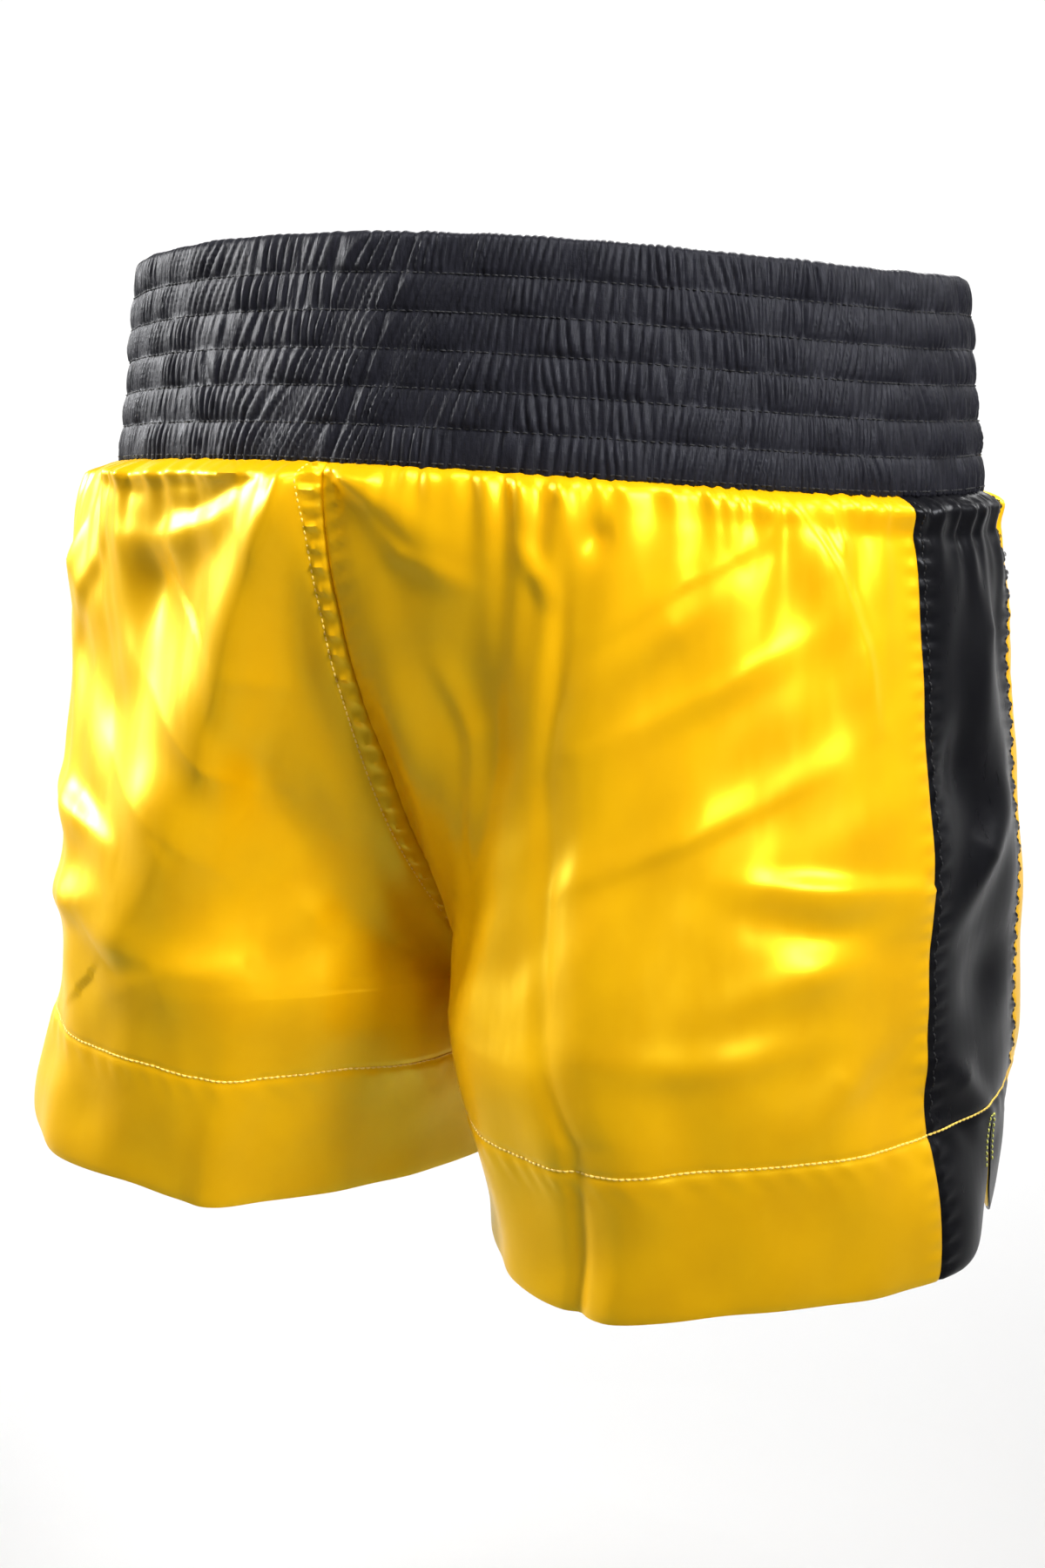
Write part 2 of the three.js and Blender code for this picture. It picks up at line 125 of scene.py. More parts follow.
def direction(azimuth, elevation):
    """The way from the cloth to a place: degrees round from the front, and degrees up."""
    a, e = math.radians(azimuth), math.radians(elevation)
    return Vector((math.sin(a) * math.cos(e), -math.cos(a) * math.cos(e), math.sin(e)))


def stand(name, data, location, facing, roll=0.0):
    """Stands a camera or a lamp at a place and turns it to face a way."""
    thing = bpy.data.objects.new(name, data)
    thing.location = location
    thing.rotation_mode = "QUATERNION"
    turn = Quaternion((0, 0, 1), math.radians(roll))
    thing.rotation_quaternion = facing.to_track_quat("-Z", "Y") @ turn
    bpy.context.scene.collection.objects.link(thing)
    return thing


def place_camera():
    """The camera looks at the middle of the cloth from behind the wearer's right side."""
    back = direction(CAMERA_AZIMUTH, CAMERA_ELEVATION)
    data = bpy.data.cameras.new("camera")
    data.lens = CAMERA_LENS
    place = CAMERA_AIM + back * CAMERA_DISTANCE
    bpy.context.scene.camera = stand("camera", data, place, -back, CAMERA_ROLL)


def softbox(name, azimuth, elevation, distance, width, height, power, spread=40, aim=-0.07):
    """A rectangular lamp that stands off the cloth in a direction and faces the height of
    its middle line called aim, or the wall behind it when its spread is wide."""
    back = direction(azimuth, elevation)
    data = bpy.data.lights.new(name, "AREA")
    data.shape = "RECTANGLE"
    data.size = width
    data.size_y = height
    data.energy = power
    data.spread = math.radians(spread)
    facing = Vector((back.x, back.y, -0.6)) if spread > 90 else -back
    stand(name, data, Vector((0, 0, aim)) + back * distance, facing)


def light_the_studio():
    """Narrow keys from both sides, a top light, soft fills and a lamp that whitens the wall."""
    softbox("right_key", 250, 28, 1.5, 0.55, 0.6, 1.8, spread=32, aim=-0.05)
    softbox("left_key", 99, 20, 1.5, 0.65, 0.6, 2.4, spread=28, aim=-0.23)
    softbox("top_light", 205, 62, 1.5, 0.7, 0.4, 1.8)
    softbox("right_fill", 318, 32, 1.8, 0.4, 0.9, 1.2)
    softbox("front_fill", 20, 38, 1.9, 1.0, 0.9, 2.4)
    softbox("wall_wash", 32, 58, 2.6, 2.4, 0.8, 88, spread=150)
    world = bpy.data.worlds.new("studio_air")
    world.use_nodes = True
    air = world.node_tree.nodes["Background"].inputs
    air["Color"].default_value = (1, 1, 1, 1)
    air["Strength"].default_value = 0.12
    bpy.context.scene.world = world
    bpy.context.scene.view_settings.view_transform = "Standard"


# ---- Cloth shape ----
def between(start, end, share):
    return start + (end - start) * share


def ease(value, low, high):
    """Nought below low, one above high and a smooth S between them."""
    share = np.clip((value - low) / (high - low), 0, 1)
    return share * share * (3 - 2 * share)


def bell(value, middle, width):
    return np.exp(-((value - middle) / width) ** 2)


def smooth_cloth(angle, row):
    """One half of the cloth before it hangs: angle 0 is the centre front and pi the centre
    back, row 0 the waist seam and 1 the hem. A ring fades from half a waist ellipse to a
    leg's oval at the crotch, and its height from the centre seam to the side."""
    turn = np.minimum(1, row / CROTCH_ROW) * math.pi / 2
    off_centre = ease(90 - np.abs(np.degrees(angle) - 90), 4, 34)
    waist_share = np.abs(np.cos(turn)) ** between(2 / RISE_ROUNDNESS, SIDE_FADE, off_centre)
    drop_share = np.abs(np.sin(turn)) ** (2 / RISE_ROUNDNESS)
    leg_share = ease(row, CROTCH_ROW, 1)
    flare = 1 - np.exp(-row / GATHER_ROW)
    waist_x = between(BAND_BASE_WIDTH, HIP_WIDTH, flare) / 2
    waist_y = between(BAND_BASE_DEPTH, HIP_DEPTH, flare) / 2
    leg_x = between(HIP_WIDTH / 2, LEG_WIDTH, leg_share) / 2
    leg_y = between(THIGH_DEPTH, LEG_DEPTH, leg_share) / 2
    leg_centre = leg_x + leg_share * LEG_SPREAD / 2
    x = between(leg_centre - leg_x * np.cos(2 * angle), waist_x * np.sin(angle), waist_share)
    y = between(-leg_y * np.sin(2 * angle), -waist_y * np.cos(angle), waist_share)
    tilt = np.where(angle < math.pi / 2, -BAND_BASE_TILT, BAND_BASE_TILT)
    leg_height = CROTCH_HEIGHT * (1 - (row - CROTCH_ROW) / (1 - CROTCH_ROW))
    rise_height = between(SEAM_HEIGHT + tilt, CROTCH_HEIGHT, drop_share)
    inner = np.where(row < CROTCH_ROW, rise_height, leg_height)
    outer = between(SEAM_HEIGHT, HEM_SIDE_RISE, row)
    z = between(inner, outer, np.sin(angle) ** 2) - GARMENT_HEIGHT
    shift = between(LEG_SET_BACK, -VENT_SET_FORWARD, np.sin(angle) ** 4)
    y = y + shift * ease(row, 0, 1)
    return np.stack(np.broadcast_arrays(x, y, z), axis=-1)


def unit(vectors):
    length = np.linalg.norm(vectors, axis=-1, keepdims=True)
    return vectors / np.maximum(length, 1e-9)


def smooth_normal(angle, row):
    """Outward direction of the unhung cloth, level at the waist seam and in the middle
    plane along the centre seams."""
    probe = 1e-3
    low, high = np.maximum(row - probe, 0), row + probe
    right, left = np.minimum(angle + probe, math.pi), np.maximum(angle - probe, 0)
    across = smooth_cloth(right, row) - smooth_cloth(left, row)
    up = smooth_cloth(angle, low) - smooth_cloth(angle, high)
    normal = unit(np.cross(across, up))
    from_centre = np.minimum(angle, math.pi - angle) * 180 / math.pi * MM_PER_DEGREE
    keep = between(ease(from_centre, 0, 9), 1, ease(row, CROTCH_ROW - 0.02, CROTCH_ROW + 0.03))
    normal[..., 0] *= keep
    normal[..., 2] *= ease(row, 0, 0.07)
    return unit(normal)


ARC_ROWS = 280
ARC_ANGLES = 720


def arc_table():
    """Millimetres walked round each row from the side line, to the back positive."""
    rows = np.linspace(0, 1, ARC_ROWS + 1)[:, None]
    angles = np.linspace(0, math.pi, ARC_ANGLES + 1)[None, :]
    steps = np.linalg.norm(np.diff(smooth_cloth(angles, rows), axis=1), axis=-1)
    travel = np.concatenate([np.zeros((ARC_ROWS + 1, 1)), np.cumsum(steps, axis=1)], axis=1)
    return travel - travel[:, ARC_ANGLES // 2][:, None]


ARC = arc_table()


def walked(angle, row):
    """The arc table read between its entries."""
    r = np.clip(row, 0, 1) * ARC_ROWS
    a = np.clip(angle / math.pi, 0, 1) * ARC_ANGLES
    r0 = np.minimum(r.astype(int), ARC_ROWS - 1)
    a0 = np.minimum(a.astype(int), ARC_ANGLES - 1)
    top = between(ARC[r0, a0], ARC[r0, a0 + 1], a - a0)
    low = between(ARC[r0 + 1, a0], ARC[r0 + 1, a0 + 1], a - a0)
    return between(top, low, r - r0)


def angle_at(distance, row):
    """The angle whose walk from the side line is the distance, by repeated correction."""
    distance, row = np.broadcast_arrays(np.asarray(distance, float), np.asarray(row, float))
    angle = np.clip(math.pi / 2 + distance / MM_PER_RADIAN, 0, math.pi)
    probe = 0.006
    for _ in range(14):
        speed = (walked(angle + probe, row) - walked(angle - probe, row)) / (2 * probe)
        miss = distance - walked(angle, row)
        angle = np.clip(angle + miss / np.maximum(speed, 25), 0, math.pi)
    return angle


def centre_angle(facing):
    """The angle of the centre front (facing -1) or the centre back (1)."""
    return np.where(np.asarray(facing) < 0, 0.0, math.pi)


def side_half_width(row):
    return between(SIDE_PANEL_TOP_WIDTH, SIDE_PANEL_HEM_WIDTH, row) / 2


def vent_half_width(row):
    return VENT_OPENING / 2 * np.maximum(0, row - VENT_ROW) / (1 - VENT_ROW)


def corner_lift(distance):
    """How far the rounded corner of a flap lifts the hem, this far from the vent."""
    reach = np.maximum(0, VENT_CORNER_RADIUS - distance)
    return VENT_CORNER_RADIUS - np.sqrt(VENT_CORNER_RADIUS ** 2 - reach ** 2)


# ---- Folds ----
# A place on the hung cloth is (round, up): degrees round the wearer from the centre
# front by the wearer's left (90), the centre back (180) and the right (270), and
# millimetres above the hem along the side. Rows dip towards the centre seams, so each
# place is turned into its level, the true height there, before a fold is drawn. A fold is
# listed as its path, heights, widths and lean, and a dimple as its middle, depth, width,
# height and turn.
def level_of(around, up):
    """True height over the hem line of a (round, up) place on the unhung cloth."""
    angle = np.radians(180 - np.abs(180 - np.asarray(around, float) % 360))
    return smooth_cloth(angle, 1 - np.asarray(up) / SIDE_LENGTH)[..., 2] + GARMENT_HEIGHT


def ridge(around, level, path, heights, widths, lean=0.0):
    """A fold along a path of (round, up) places: a bell across the path, as high and wide
    as the lists say at each place, with its far side wider than its near side by lean."""
    x, y = around * MM_PER_DEGREE, level
    spots = [(turn * MM_PER_DEGREE, float(level_of(turn, up))) for turn, up in path]
    first = spots[0][0]
    x = (x - first + HALF_ROUND) % (2 * HALF_ROUND) - HALF_ROUND + first
    nearest = np.full(np.broadcast(x, y).shape, 1e9)
    spot = np.zeros_like(nearest)
    for k in range(len(path) - 1):
        ax, ay = spots[k]
        dx, dy = spots[k + 1][0] - ax, spots[k + 1][1] - ay
        share = np.clip(((x - ax) * dx + (y - ay) * dy) / (dx * dx + dy * dy), 0, 1)
        px, py = x - ax - share * dx, y - ay - share * dy
        off = np.hypot(px, py) * np.where(dx * py - dy * px < 0, -1, 1)
        nearer = np.abs(off) < np.abs(nearest)
        nearest = np.where(nearer, off, nearest)
        spot = np.where(nearer, k + share, spot)
    stations = np.arange(len(path))
    height = np.interp(spot, stations, heights)
    width = np.interp(spot, stations, widths)
    width = width * np.where(nearest > 0, 1 + lean, 1 - lean)
    return height * np.exp(-(nearest / width) ** 2)


def hollow(around, level, middle, depth, wide, tall, turn=0.0):
    """A dimple: an oval bell pressed inwards, turned by an angle in degrees."""
    x = (around - middle[0]) * MM_PER_DEGREE
    y = level - level_of(*middle)
    c, s = math.cos(math.radians(turn)), math.sin(math.radians(turn))
    return -depth * np.exp(-((x * c + y * s) / wide) ** 2 - ((y * c - x * s) / tall) ** 2)


# The wearer's left seat: one big fold runs from a knot at the centre of the waist to the
# outside of the thigh, with swags beside it under the band.
LEFT_BACK_FOLDS = [
    ([(178, 272), (173, 246), (166, 216), (156, 190), (146, 160), (132, 96)],
     [6, 13, 20, 25, 19, 3], [7, 12, 19, 24, 25, 20], -0.3),
    ([(174, 266), (165, 252), (152, 244), (140, 246)], [0, 4, 3, 0], [5, 7, 8, 8], 0.2),
    ([(135, 258), (128, 236), (122, 214)], [0, 4.2, 0], [6, 7, 8], 0.3),
    ([(128, 273), (145, 267), (158, 268), (166, 267), (176, 273)],
     [1, 4, 4.5, 4, 2], [4, 5, 5, 4, 4], 0.2),
    ([(182, 273), (189, 258), (198, 238)], [4.5, 4, 0], [5, 7, 9], 0.2),
    ([(150, 262), (160, 260), (170, 266)], [0, 1.8, 0], [4, 4, 4]),
    ([(168, 168), (159, 140), (150, 112)], [0, 1.8, 0], [7, 8, 8]),
    ([(118, 122), (132, 106), (152, 100)], [0, 2.0, 0], [7, 8, 7], 0.2),
    ([(172, 200), (160, 186), (150, 168)], [0, -1.6, 0], [6, 7, 6]),
    ([(142, 252), (131, 228), (121, 203)], [0, 2.6, 0], [6, 6, 6], -0.3),
    ([(138, 148), (128, 152), (112, 150)], [0, 4.5, 2], [8, 9, 9], 0.2),
    ([(112, 262), (106, 236), (108, 208)], [1, 3.5, 0], [6, 7, 8], 0.2),
    ([(134, 130), (124, 112), (110, 100)], [0, 4, 3], [8, 9, 10], -0.2),
    ([(152, 118), (140, 90), (128, 66)], [0, 3, 0], [9, 11, 11], 0.3),
    ([(146, 172), (145, 160), (146, 149)], [0, -0.7, 0], [4, 4, 4]),
    ([(167, 212), (163, 185), (159, 152)], [0, 2.6, 0], [13, 14, 13]),
    ([(169, 122), (167, 90), (166, 55)], [0, 2.4, 1.2], [6, 7, 8]),
    ([(161, 130), (160, 90), (160, 40)], [0, -2.0, -1.0], [7, 8, 9]),
    ([(148, 95), (148, 49), (147, -4)], [0, 2.2, 4], [12, 10, 9], 0.3),
]
LEFT_BACK_DIMPLES = [
    ((151, 236), 6, 14, 22, -30),
    ((128, 205), 3, 22, 24, -20),
]

# The wearer's right seat: a pressed crease runs down the middle of the leg, and drag folds
# hang from the band towards the side seam.
RIGHT_BACK_FOLDS = [
    ([(208, 262), (209, 234), (212, 191), (220, 136), (226, 60), (222, -4)],
     [-0.5, -1.6, -1.6, -1.4, -2, -2.6], [3, 4, 5, 5, 4, 4]),
    ([(214, 250), (216, 200), (225, 136), (231, 60), (227, -4)],
     [1, 2.2, 3, 3.2, 4], [9, 12, 13, 13, 12], 0.25),
    ([(203, 254), (206, 243), (208, 234)], [0, 2.6, 0], [4, 4, 4]),
    ([(228, 250), (222, 232), (212, 211)], [0, 3.2, 0], [9, 10, 10]),
    ([(227, 276), (235, 268), (240, 250), (246, 224), (251, 194)],
     [0, 3.0, 4.6, 4.0, 0], [6, 8, 9, 8, 6], -0.45),
    ([(240, 272), (242, 260), (243, 243)], [0, 2.2, 0], [4, 4, 4]),
    ([(235, 158), (246, 150), (258, 142)], [0, 3, 2], [8, 7, 7], -0.4),
    ([(236, 108), (248, 120), (258, 132)], [0, 2.4, 1], [8, 8, 8]),
    ([(257, 93), (252, 77), (247, 55)], [0, 2.2, 0], [8, 8, 8]),
    ([(186, 150), (184, 120), (188, 92)], [0, 2.4, 0], [7, 8, 8]),
    ([(212, 224), (222, 244), (233, 262)], [0, 1.8, 0.6], [5, 5, 6], 0.3),
    ([(214, 196), (228, 214), (241, 234)], [0, 1.6, 0], [5, 6, 6], -0.3),
    ([(216, 158), (231, 172), (248, 192)], [0, 1.5, 0], [6, 6, 6], 0.3),
    ([(224, 100), (237, 88), (252, 94)], [0, 2.0, 0.5], [7, 7, 7]),
    ([(192, 222), (198, 200), (200, 172)], [0, 2.6, 1], [6, 7, 7], 0.2),
    ([(184, 262), (190, 246), (200, 236)], [0, 2.4, 0], [4, 5, 6], -0.2),
]
RIGHT_BACK_DIMPLES = [
    ((198, 210), 6, 20, 36, 8),
    ((212, 254), 3.5, 5, 7),
    ((247, 136), 2.6, 32, 8, -18),
]

# The front, which is guessed from the back: soft drag folds rise from the crotch to the
# hips, and each leg has the same pressed crease.
FRONT_FOLDS = [
    ([(8, 112), (24, 150), (46, 190), (62, 214)], [0, 4, 4, 0], [9, 13, 16, 14], 0.2),
    ([(350, 118), (332, 146), (314, 176), (296, 196)], [0, 4.4, 4, 0], [9, 12, 15, 14], -0.2),
    ([(30, 270), (36, 240), (44, 206)], [0, 3, 0], [7, 10, 12]),
    ([(325, 272), (318, 244), (308, 216)], [0, 3.4, 0], [7, 9, 11]),
    ([(30, 160), (34, 90), (33, -4)], [0, 2.2, 3.5], [10, 12, 12], 0.25),
    ([(329, 170), (325, 90), (327, -4)], [0, 2.4, 3.2], [10, 12, 12], -0.25),
    ([(64, 150), (54, 128), (48, 96)], [0, 2.6, 0], [8, 9, 9]),
    ([(300, 156), (306, 120), (312, 90)], [0, 2.8, 0], [8, 10, 9]),
]
FRONT_DIMPLES = [
    ((18, 208), 4.5, 20, 34, -10),
    ((342, 214), 5, 20, 32, 10),
]

# The side panels bow outwards in a few long shallow waves.
SIDE_FOLDS = [
    ([(270, 262), (272, 226), (268, 186)], [0, 4.0, 0], [9, 10, 10]),
    ([(276, 170), (269, 146), (262, 116)], [0, 4.8, 0], [8, 8, 9]),
    ([(259, 86), (265, 66), (272, 36)], [0, 4.6, 0], [7, 7, 7]),
    ([(92, 262), (88, 226), (92, 186)], [0, 2.4, 0], [10, 12, 12]),
    ([(84, 150), (92, 128), (98, 110)], [0, 2.4, 0], [9, 10, 9]),
]
SIDE_DIMPLES = [
    ((266, 176), 4.4, 14, 20, 20),
    ((270, 100), 4.2, 16, 16, 0),
    ((88, 90), 2.2, 18, 18, 0),
]


def drawn_folds(a, level):
    """The sum of the folds and dimples of all four sides."""
    lift = 0
    for fold in LEFT_BACK_FOLDS + RIGHT_BACK_FOLDS + FRONT_FOLDS + SIDE_FOLDS:
        lift = lift + ridge(a, level, *fold)
    for dimple in LEFT_BACK_DIMPLES + RIGHT_BACK_DIMPLES + FRONT_DIMPLES + SIDE_DIMPLES:
        lift = lift + hollow(a, level, *dimple)
    return lift


def gathers(a, u):
    """Puckers where the satin is drawn in to the band: waves of uneven length that die out
    some 20 mm down, with the cloth puffed out just under the seam and tucked in at it."""
    turn = np.radians(a)
    below = np.maximum(SIDE_LENGTH - u, 0)
    wave = np.sin(62 * turn + 2.4 * np.sin(5 * turn + 1) + 1.3 * np.sin(11 * turn))
    wave += 0.7 * np.sin(97 * turn + 2 * np.sin(7 * turn + 2))
    strength = 0.55 + 0.45 * np.sin(9 * turn + 0.7) * np.sin(4 * turn)
    reach = 15 + 7 * np.sin(13 * turn + 2) * np.sin(3 * turn + 0.4)
    pucker = 2.3 * wave * strength * np.exp(-below / reach) * (1 - np.exp(-below / 3))
    puff = (1.5 + 0.9 * strength) * (1 - np.exp(-below / 4)) * np.exp(-below / 24)
    scallop = np.sin(148 * turn + 3 * np.sin(8 * turn) + 2 * np.sin(17 * turn + 1))
    scallop = 1.3 * scallop * (0.6 + 0.4 * np.sin(21 * turn)) * np.exp(-below / 6)
    return pucker + puff + scallop - 2.3 * np.exp(-below / 1.6)


def seam_puckers(u, from_seam):
    """Small creases square to the side seams, beside the groove of the seam itself. The
    distance from the seam is positive on the yellow side."""
    off = np.abs(from_seam)
    beat = np.sin(u * 2 * math.pi / 7.4 + 1.6 * np.sin(u / 17) + 0.4 * np.sin(u / 5))
    yellow = 0.42 * bell(off, 0, 5.5)
    black = 0.6 * bell(off, 3.5, 4.5)
    crease = beat * np.where(from_seam > 0, yellow, black)
    return crease * ease(off, 0.2, 1.6) - 0.75 * bell(off, 0, 1)


def centre_seam(a, u):
    """The centre seams lie in a groove. On the wearer's left of it, rungs of puckered cloth
    reach to the topstitching, and short creases fan out on the right."""
    above = ease(u, CROTCH_HEIGHT - 12, CROTCH_HEIGHT + 6)
    lift = 0
    for middle in (180, 0):
        off = ((middle - a + 180) % 360 - 180) * MM_PER_DEGREE
        off = off if middle == 180 else -off
        rung = 0.5 + 0.5 * np.cos(u * 2 * math.pi / 5.6 + 0.7 * np.sin(u / 19))
        strip = ease(off, 0.4, 1.8) * (1 - ease(off, SEAM_STITCH_INSET - 1.6, SEAM_STITCH_INSET))
        lift = lift + strip * (2.1 * rung ** 2 - 0.5)
        lift = lift - 0.55 * bell(off, SEAM_STITCH_INSET, 0.9) - 1.1 * bell(off, 0, 0.9)
        fan = np.sin((u + 0.4 * off) * 2 * math.pi / 11.3) ** 6
        lift = lift + 0.9 * fan * bell(off, -6, 4) * np.where(off < 0, 1, 0)
    return lift * above


def hem_shape(a, u):
    """The stitching of the hem draws a groove, small slanted puckers lie under it, and the
    doubled cloth below stands a little proud and curls in at its edge."""
    over = u - STITCH_HEIGHT
    slant = np.sin((a * MM_PER_DEGREE + 0.5 * over) * 2 * math.pi / 9.5
                   + 2 * np.sin(np.radians(a) * 13))
    lift = 0.22 * slant * bell(over, -4, 5) - 0.5 * bell(over, 0, 1) + 0.35 * ease(-over, 0.5, 3)
    return lift - 0.8 * np.exp(-np.maximum(u, 0) / 2.2)


def soft_unevenness(a, level):
    """Wide shallow waves, as cut satin never hangs quite even."""
    t = np.radians(a)
    wave = np.sin(9 * t + level / 31 + 1.2 * np.sin(level / 47))
    wave = wave * np.sin(level / 39 + 3 * np.sin(4 * t))
    small = np.sin(23 * t + level / 17 + np.sin(6 * t)) * np.sin(level / 21 - 11 * t)
    fine = np.sin(37 * t - level / 9 + 2 * np.sin(7 * t + level / 40)) * np.sin(level / 13 + 8 * t)
    return 1.5 * wave + 0.9 * small + 0.3 * fine


def hip_shape(a, u):
    """The cloth stands off the wearer's left hip and thigh and lies close to the right."""
    below = SIDE_LENGTH - u
    left = 8 * bell(a, 100, 34) * ease(below, 0, 8) * ease(u, 90, 230)
    left = left + 15 * bell(a, 104, 32) * (1 - ease(u, -8, 88))
    right = -8 * bell(a, 266, 34) * ease(below, 3, 14) * ease(u, 140, 250)
    right = right + (5 * bell(a, 261, 9) - 14 * bell(a, 283, 12)) * (1 - ease(u, 0, 70))
    return left + right


def fold_height(a, u, from_seam):
    """All folds together. Those near the inside leg fade out, so that the leg closes."""
    level = level_of(a, u)
    near_inseam = np.abs((a + 90) % 180 - 90)
    leg = 1 - ease(level, CROTCH_HEIGHT - 10, CROTCH_HEIGHT + 45)
    big = drawn_folds(a, level) + soft_unevenness(a, level)
    big = big * between(1, ease(near_inseam, 1, 12), leg) * ease(SIDE_LENGTH - u, 0, 9)
    small = gathers(a, u) + seam_puckers(u, from_seam) + hem_shape(a, u)
    small = small * between(1, ease(near_inseam, 0, 3), leg)
    return big + small + centre_seam(a, u) + hip_shape(a, u)


def hem_fall(a, u):
    """How far the cloth hangs lower (or is caught up) towards the hem, in millimetres."""
    spots = [(-4, 30, 14), (17, 88, 36), (2, 137, 6), (-3, 148, 9), (2, 205, 9), (-7, 222, 16),
             (-5, 256, 16), (-4, 328, 14)]
    fall = sum(height * bell(a, middle, width) for height, middle, width in spots)
    return fall * np.clip(1 - u / SIDE_LENGTH, 0, 1.1) ** 1.6


def hung(side, angle, row, depth=0.0):
    """A place on the hung cloth: the smooth cloth moved out by the folds, in by the depth
    under its outside, and down or up by the fall of the hem. Side is 1 on the wearer's
    left and -1 on the right."""
    angle, row, depth = np.broadcast_arrays(angle, row, depth)
    degrees = np.degrees(angle)
    a = degrees if side > 0 else 360 - degrees
    u = SIDE_LENGTH * (1 - row)
    from_seam = np.abs(walked(angle, row)) - side_half_width(row)
    out = fold_height(a, u, from_seam) - depth
    point = smooth_cloth(angle, row) + smooth_normal(angle, row) * out[..., None]
    point[..., 2] += hem_fall(a, u)
    point[..., 0] = np.maximum(point[..., 0], HALF_GAP) * side
    return point


# ---- Making meshes ----
def link_piece(name, points, faces, material, pattern=None, sharp=50):
    """A mesh object from points in millimetres and arrays of faces, each array with one
    number of corners. pattern gives each point's place on the flat cloth, in metres."""
    points = points.reshape(-1, 3)
    used, back = np.unique(np.concatenate([f.ravel() for f in faces]), return_inverse=True)
    counts = np.concatenate([np.full(len(f), f.shape[1]) for f in faces])
    starts = np.concatenate([[0], np.cumsum(counts)[:-1]])
    mesh = bpy.data.meshes.new(name)
    mesh.vertices.add(len(used))
    mesh.vertices.foreach_set("co", (points[used] * MM).astype(np.float32).ravel())
    mesh.loops.add(len(back))
    mesh.loops.foreach_set("vertex_index", back.astype(np.int32).ravel())
    mesh.polygons.add(len(counts))
    mesh.polygons.foreach_set("loop_start", starts.astype(np.int32))
    mesh.polygons.foreach_set("use_smooth", np.ones(len(counts), bool))
    mesh.update(calc_edges=True)
    mesh.validate()
    if pattern is not None:
        layer = mesh.uv_layers.new(name="cloth")
        flat = pattern.reshape(-1, 2)[used][back.ravel()]
        layer.data.foreach_set("uv", flat.astype(np.float32).ravel())
    mesh.set_sharp_from_angle(angle=math.radians(sharp))
    mesh.materials.append(material)
    piece = bpy.data.objects.new(name, mesh)
    bpy.context.scene.collection.objects.link(piece)
    return piece


def turn_over(faces, wanted):
    return [f[:, ::-1] for f in faces] if wanted else faces


def grid_faces(number, closed_rows=False, closed_columns=False):
    """The quads of a grid of point numbers, whose rows or columns may join up."""
    if closed_rows:
        number = np.concatenate([number, number[:1]])
    if closed_columns:
        number = np.concatenate([number, number[:, :1]], axis=1)
    quads = np.stack([number[:-1, :-1], number[1:, :-1], number[1:, 1:], number[:-1, 1:]], -1)
    return quads.reshape(-1, 4)


CURL_POINTS = 3


def edge_cap(column, turned, start=0):
    """Closes one edge of a folded sheet: the column's numbers run down the outside, round
    the hem's curl and up the inside, and facing numbers are joined from start on."""
    half = (len(column) - CURL_POINTS) // 2
    down, up = column[:half], column[::-1][:half]
    quads = np.stack([down[:-1], down[1:], up[1:], up[:-1]], -1)[start:]
    tip = column[half - 1:half + CURL_POINTS + 1][None, :]
    return turn_over([quads, tip], turned)


def sheet_profile(rows, thickness):
    """The section of a sheet as rows and depths: down the outside, round a small half
    circle at the hem and up the inside."""
    turn = np.linspace(0, math.pi, CURL_POINTS + 2)[1:-1]
    curl_rows = rows[-1] + thickness / 2 * np.sin(turn) / SIDE_LENGTH
    curl_depths = thickness / 2 * (1 - np.cos(turn))
    section = np.concatenate([rows, curl_rows, rows[::-1]])
    depths = np.concatenate([np.zeros(len(rows)), curl_depths, np.full(len(rows), thickness)])
    return section, depths


def flat_place(distance, row):
    """The place on the flat cloth, in metres from the side line and from the hem."""
    return np.stack([distance * MM, (1 - row) * SIDE_LENGTH * MM], -1)


def main_panel(name, side, facing, material, columns=176, rows=178):
    """A front (facing -1) or back (1) panel. Its columns run from the side seam to the
    centre seam and the inside leg, evenly along each row."""
    section, depths = sheet_profile(np.linspace(0, 1, rows + 1), SATIN_THICKNESS)
    share = np.linspace(0, 1, columns + 1)[None, :]
    row = section[:, None] + 0 * share
    end = np.abs(walked(centre_angle(facing), row))
    start = side_half_width(np.minimum(row, 1)) + HALF_GAP
    distance = between(start, end, share)
    angle = angle_at(facing * distance, row)
    angle[:, -1] = centre_angle(facing)
    points = hung(side, angle, row, depths[:, None])
    number = np.arange(points[..., 0].size).reshape(points.shape[:2])
    faces = [grid_faces(number, closed_rows=True)]
    faces += edge_cap(number[:, 0], True) + edge_cap(number[:, -1], False)
    faces = turn_over(faces, side * facing < 0)
    return link_piece(name, points, faces, material, flat_place(facing * distance, row))


def flap_grid(side, facing, rows, columns):
    """Half of a side panel, from its middle line or the vent's edge to the side seam. The
    hem rises round the flap's corner."""
    share = np.linspace(0, 1, columns + 1)[None, :] ** 1.4
    hem_width = side_half_width(1.0) - vent_half_width(1.0)
    hem = 1 - corner_lift(share * hem_width) / SIDE_LENGTH
    flat, depths = sheet_profile(rows, SATIN_THICKNESS)
    below = (flat[:, None] - VENT_ROW) / (1 - VENT_ROW)
    row = np.where(below > 0, VENT_ROW + below * (hem - VENT_ROW), flat[:, None])
    edge = vent_half_width(row)
    distance = between(edge, side_half_width(row) - HALF_GAP, share)
    angle = angle_at(facing * distance, row)
    points = hung(side, angle, row, depths[:, None])
    return points, flat_place(facing * distance, row)


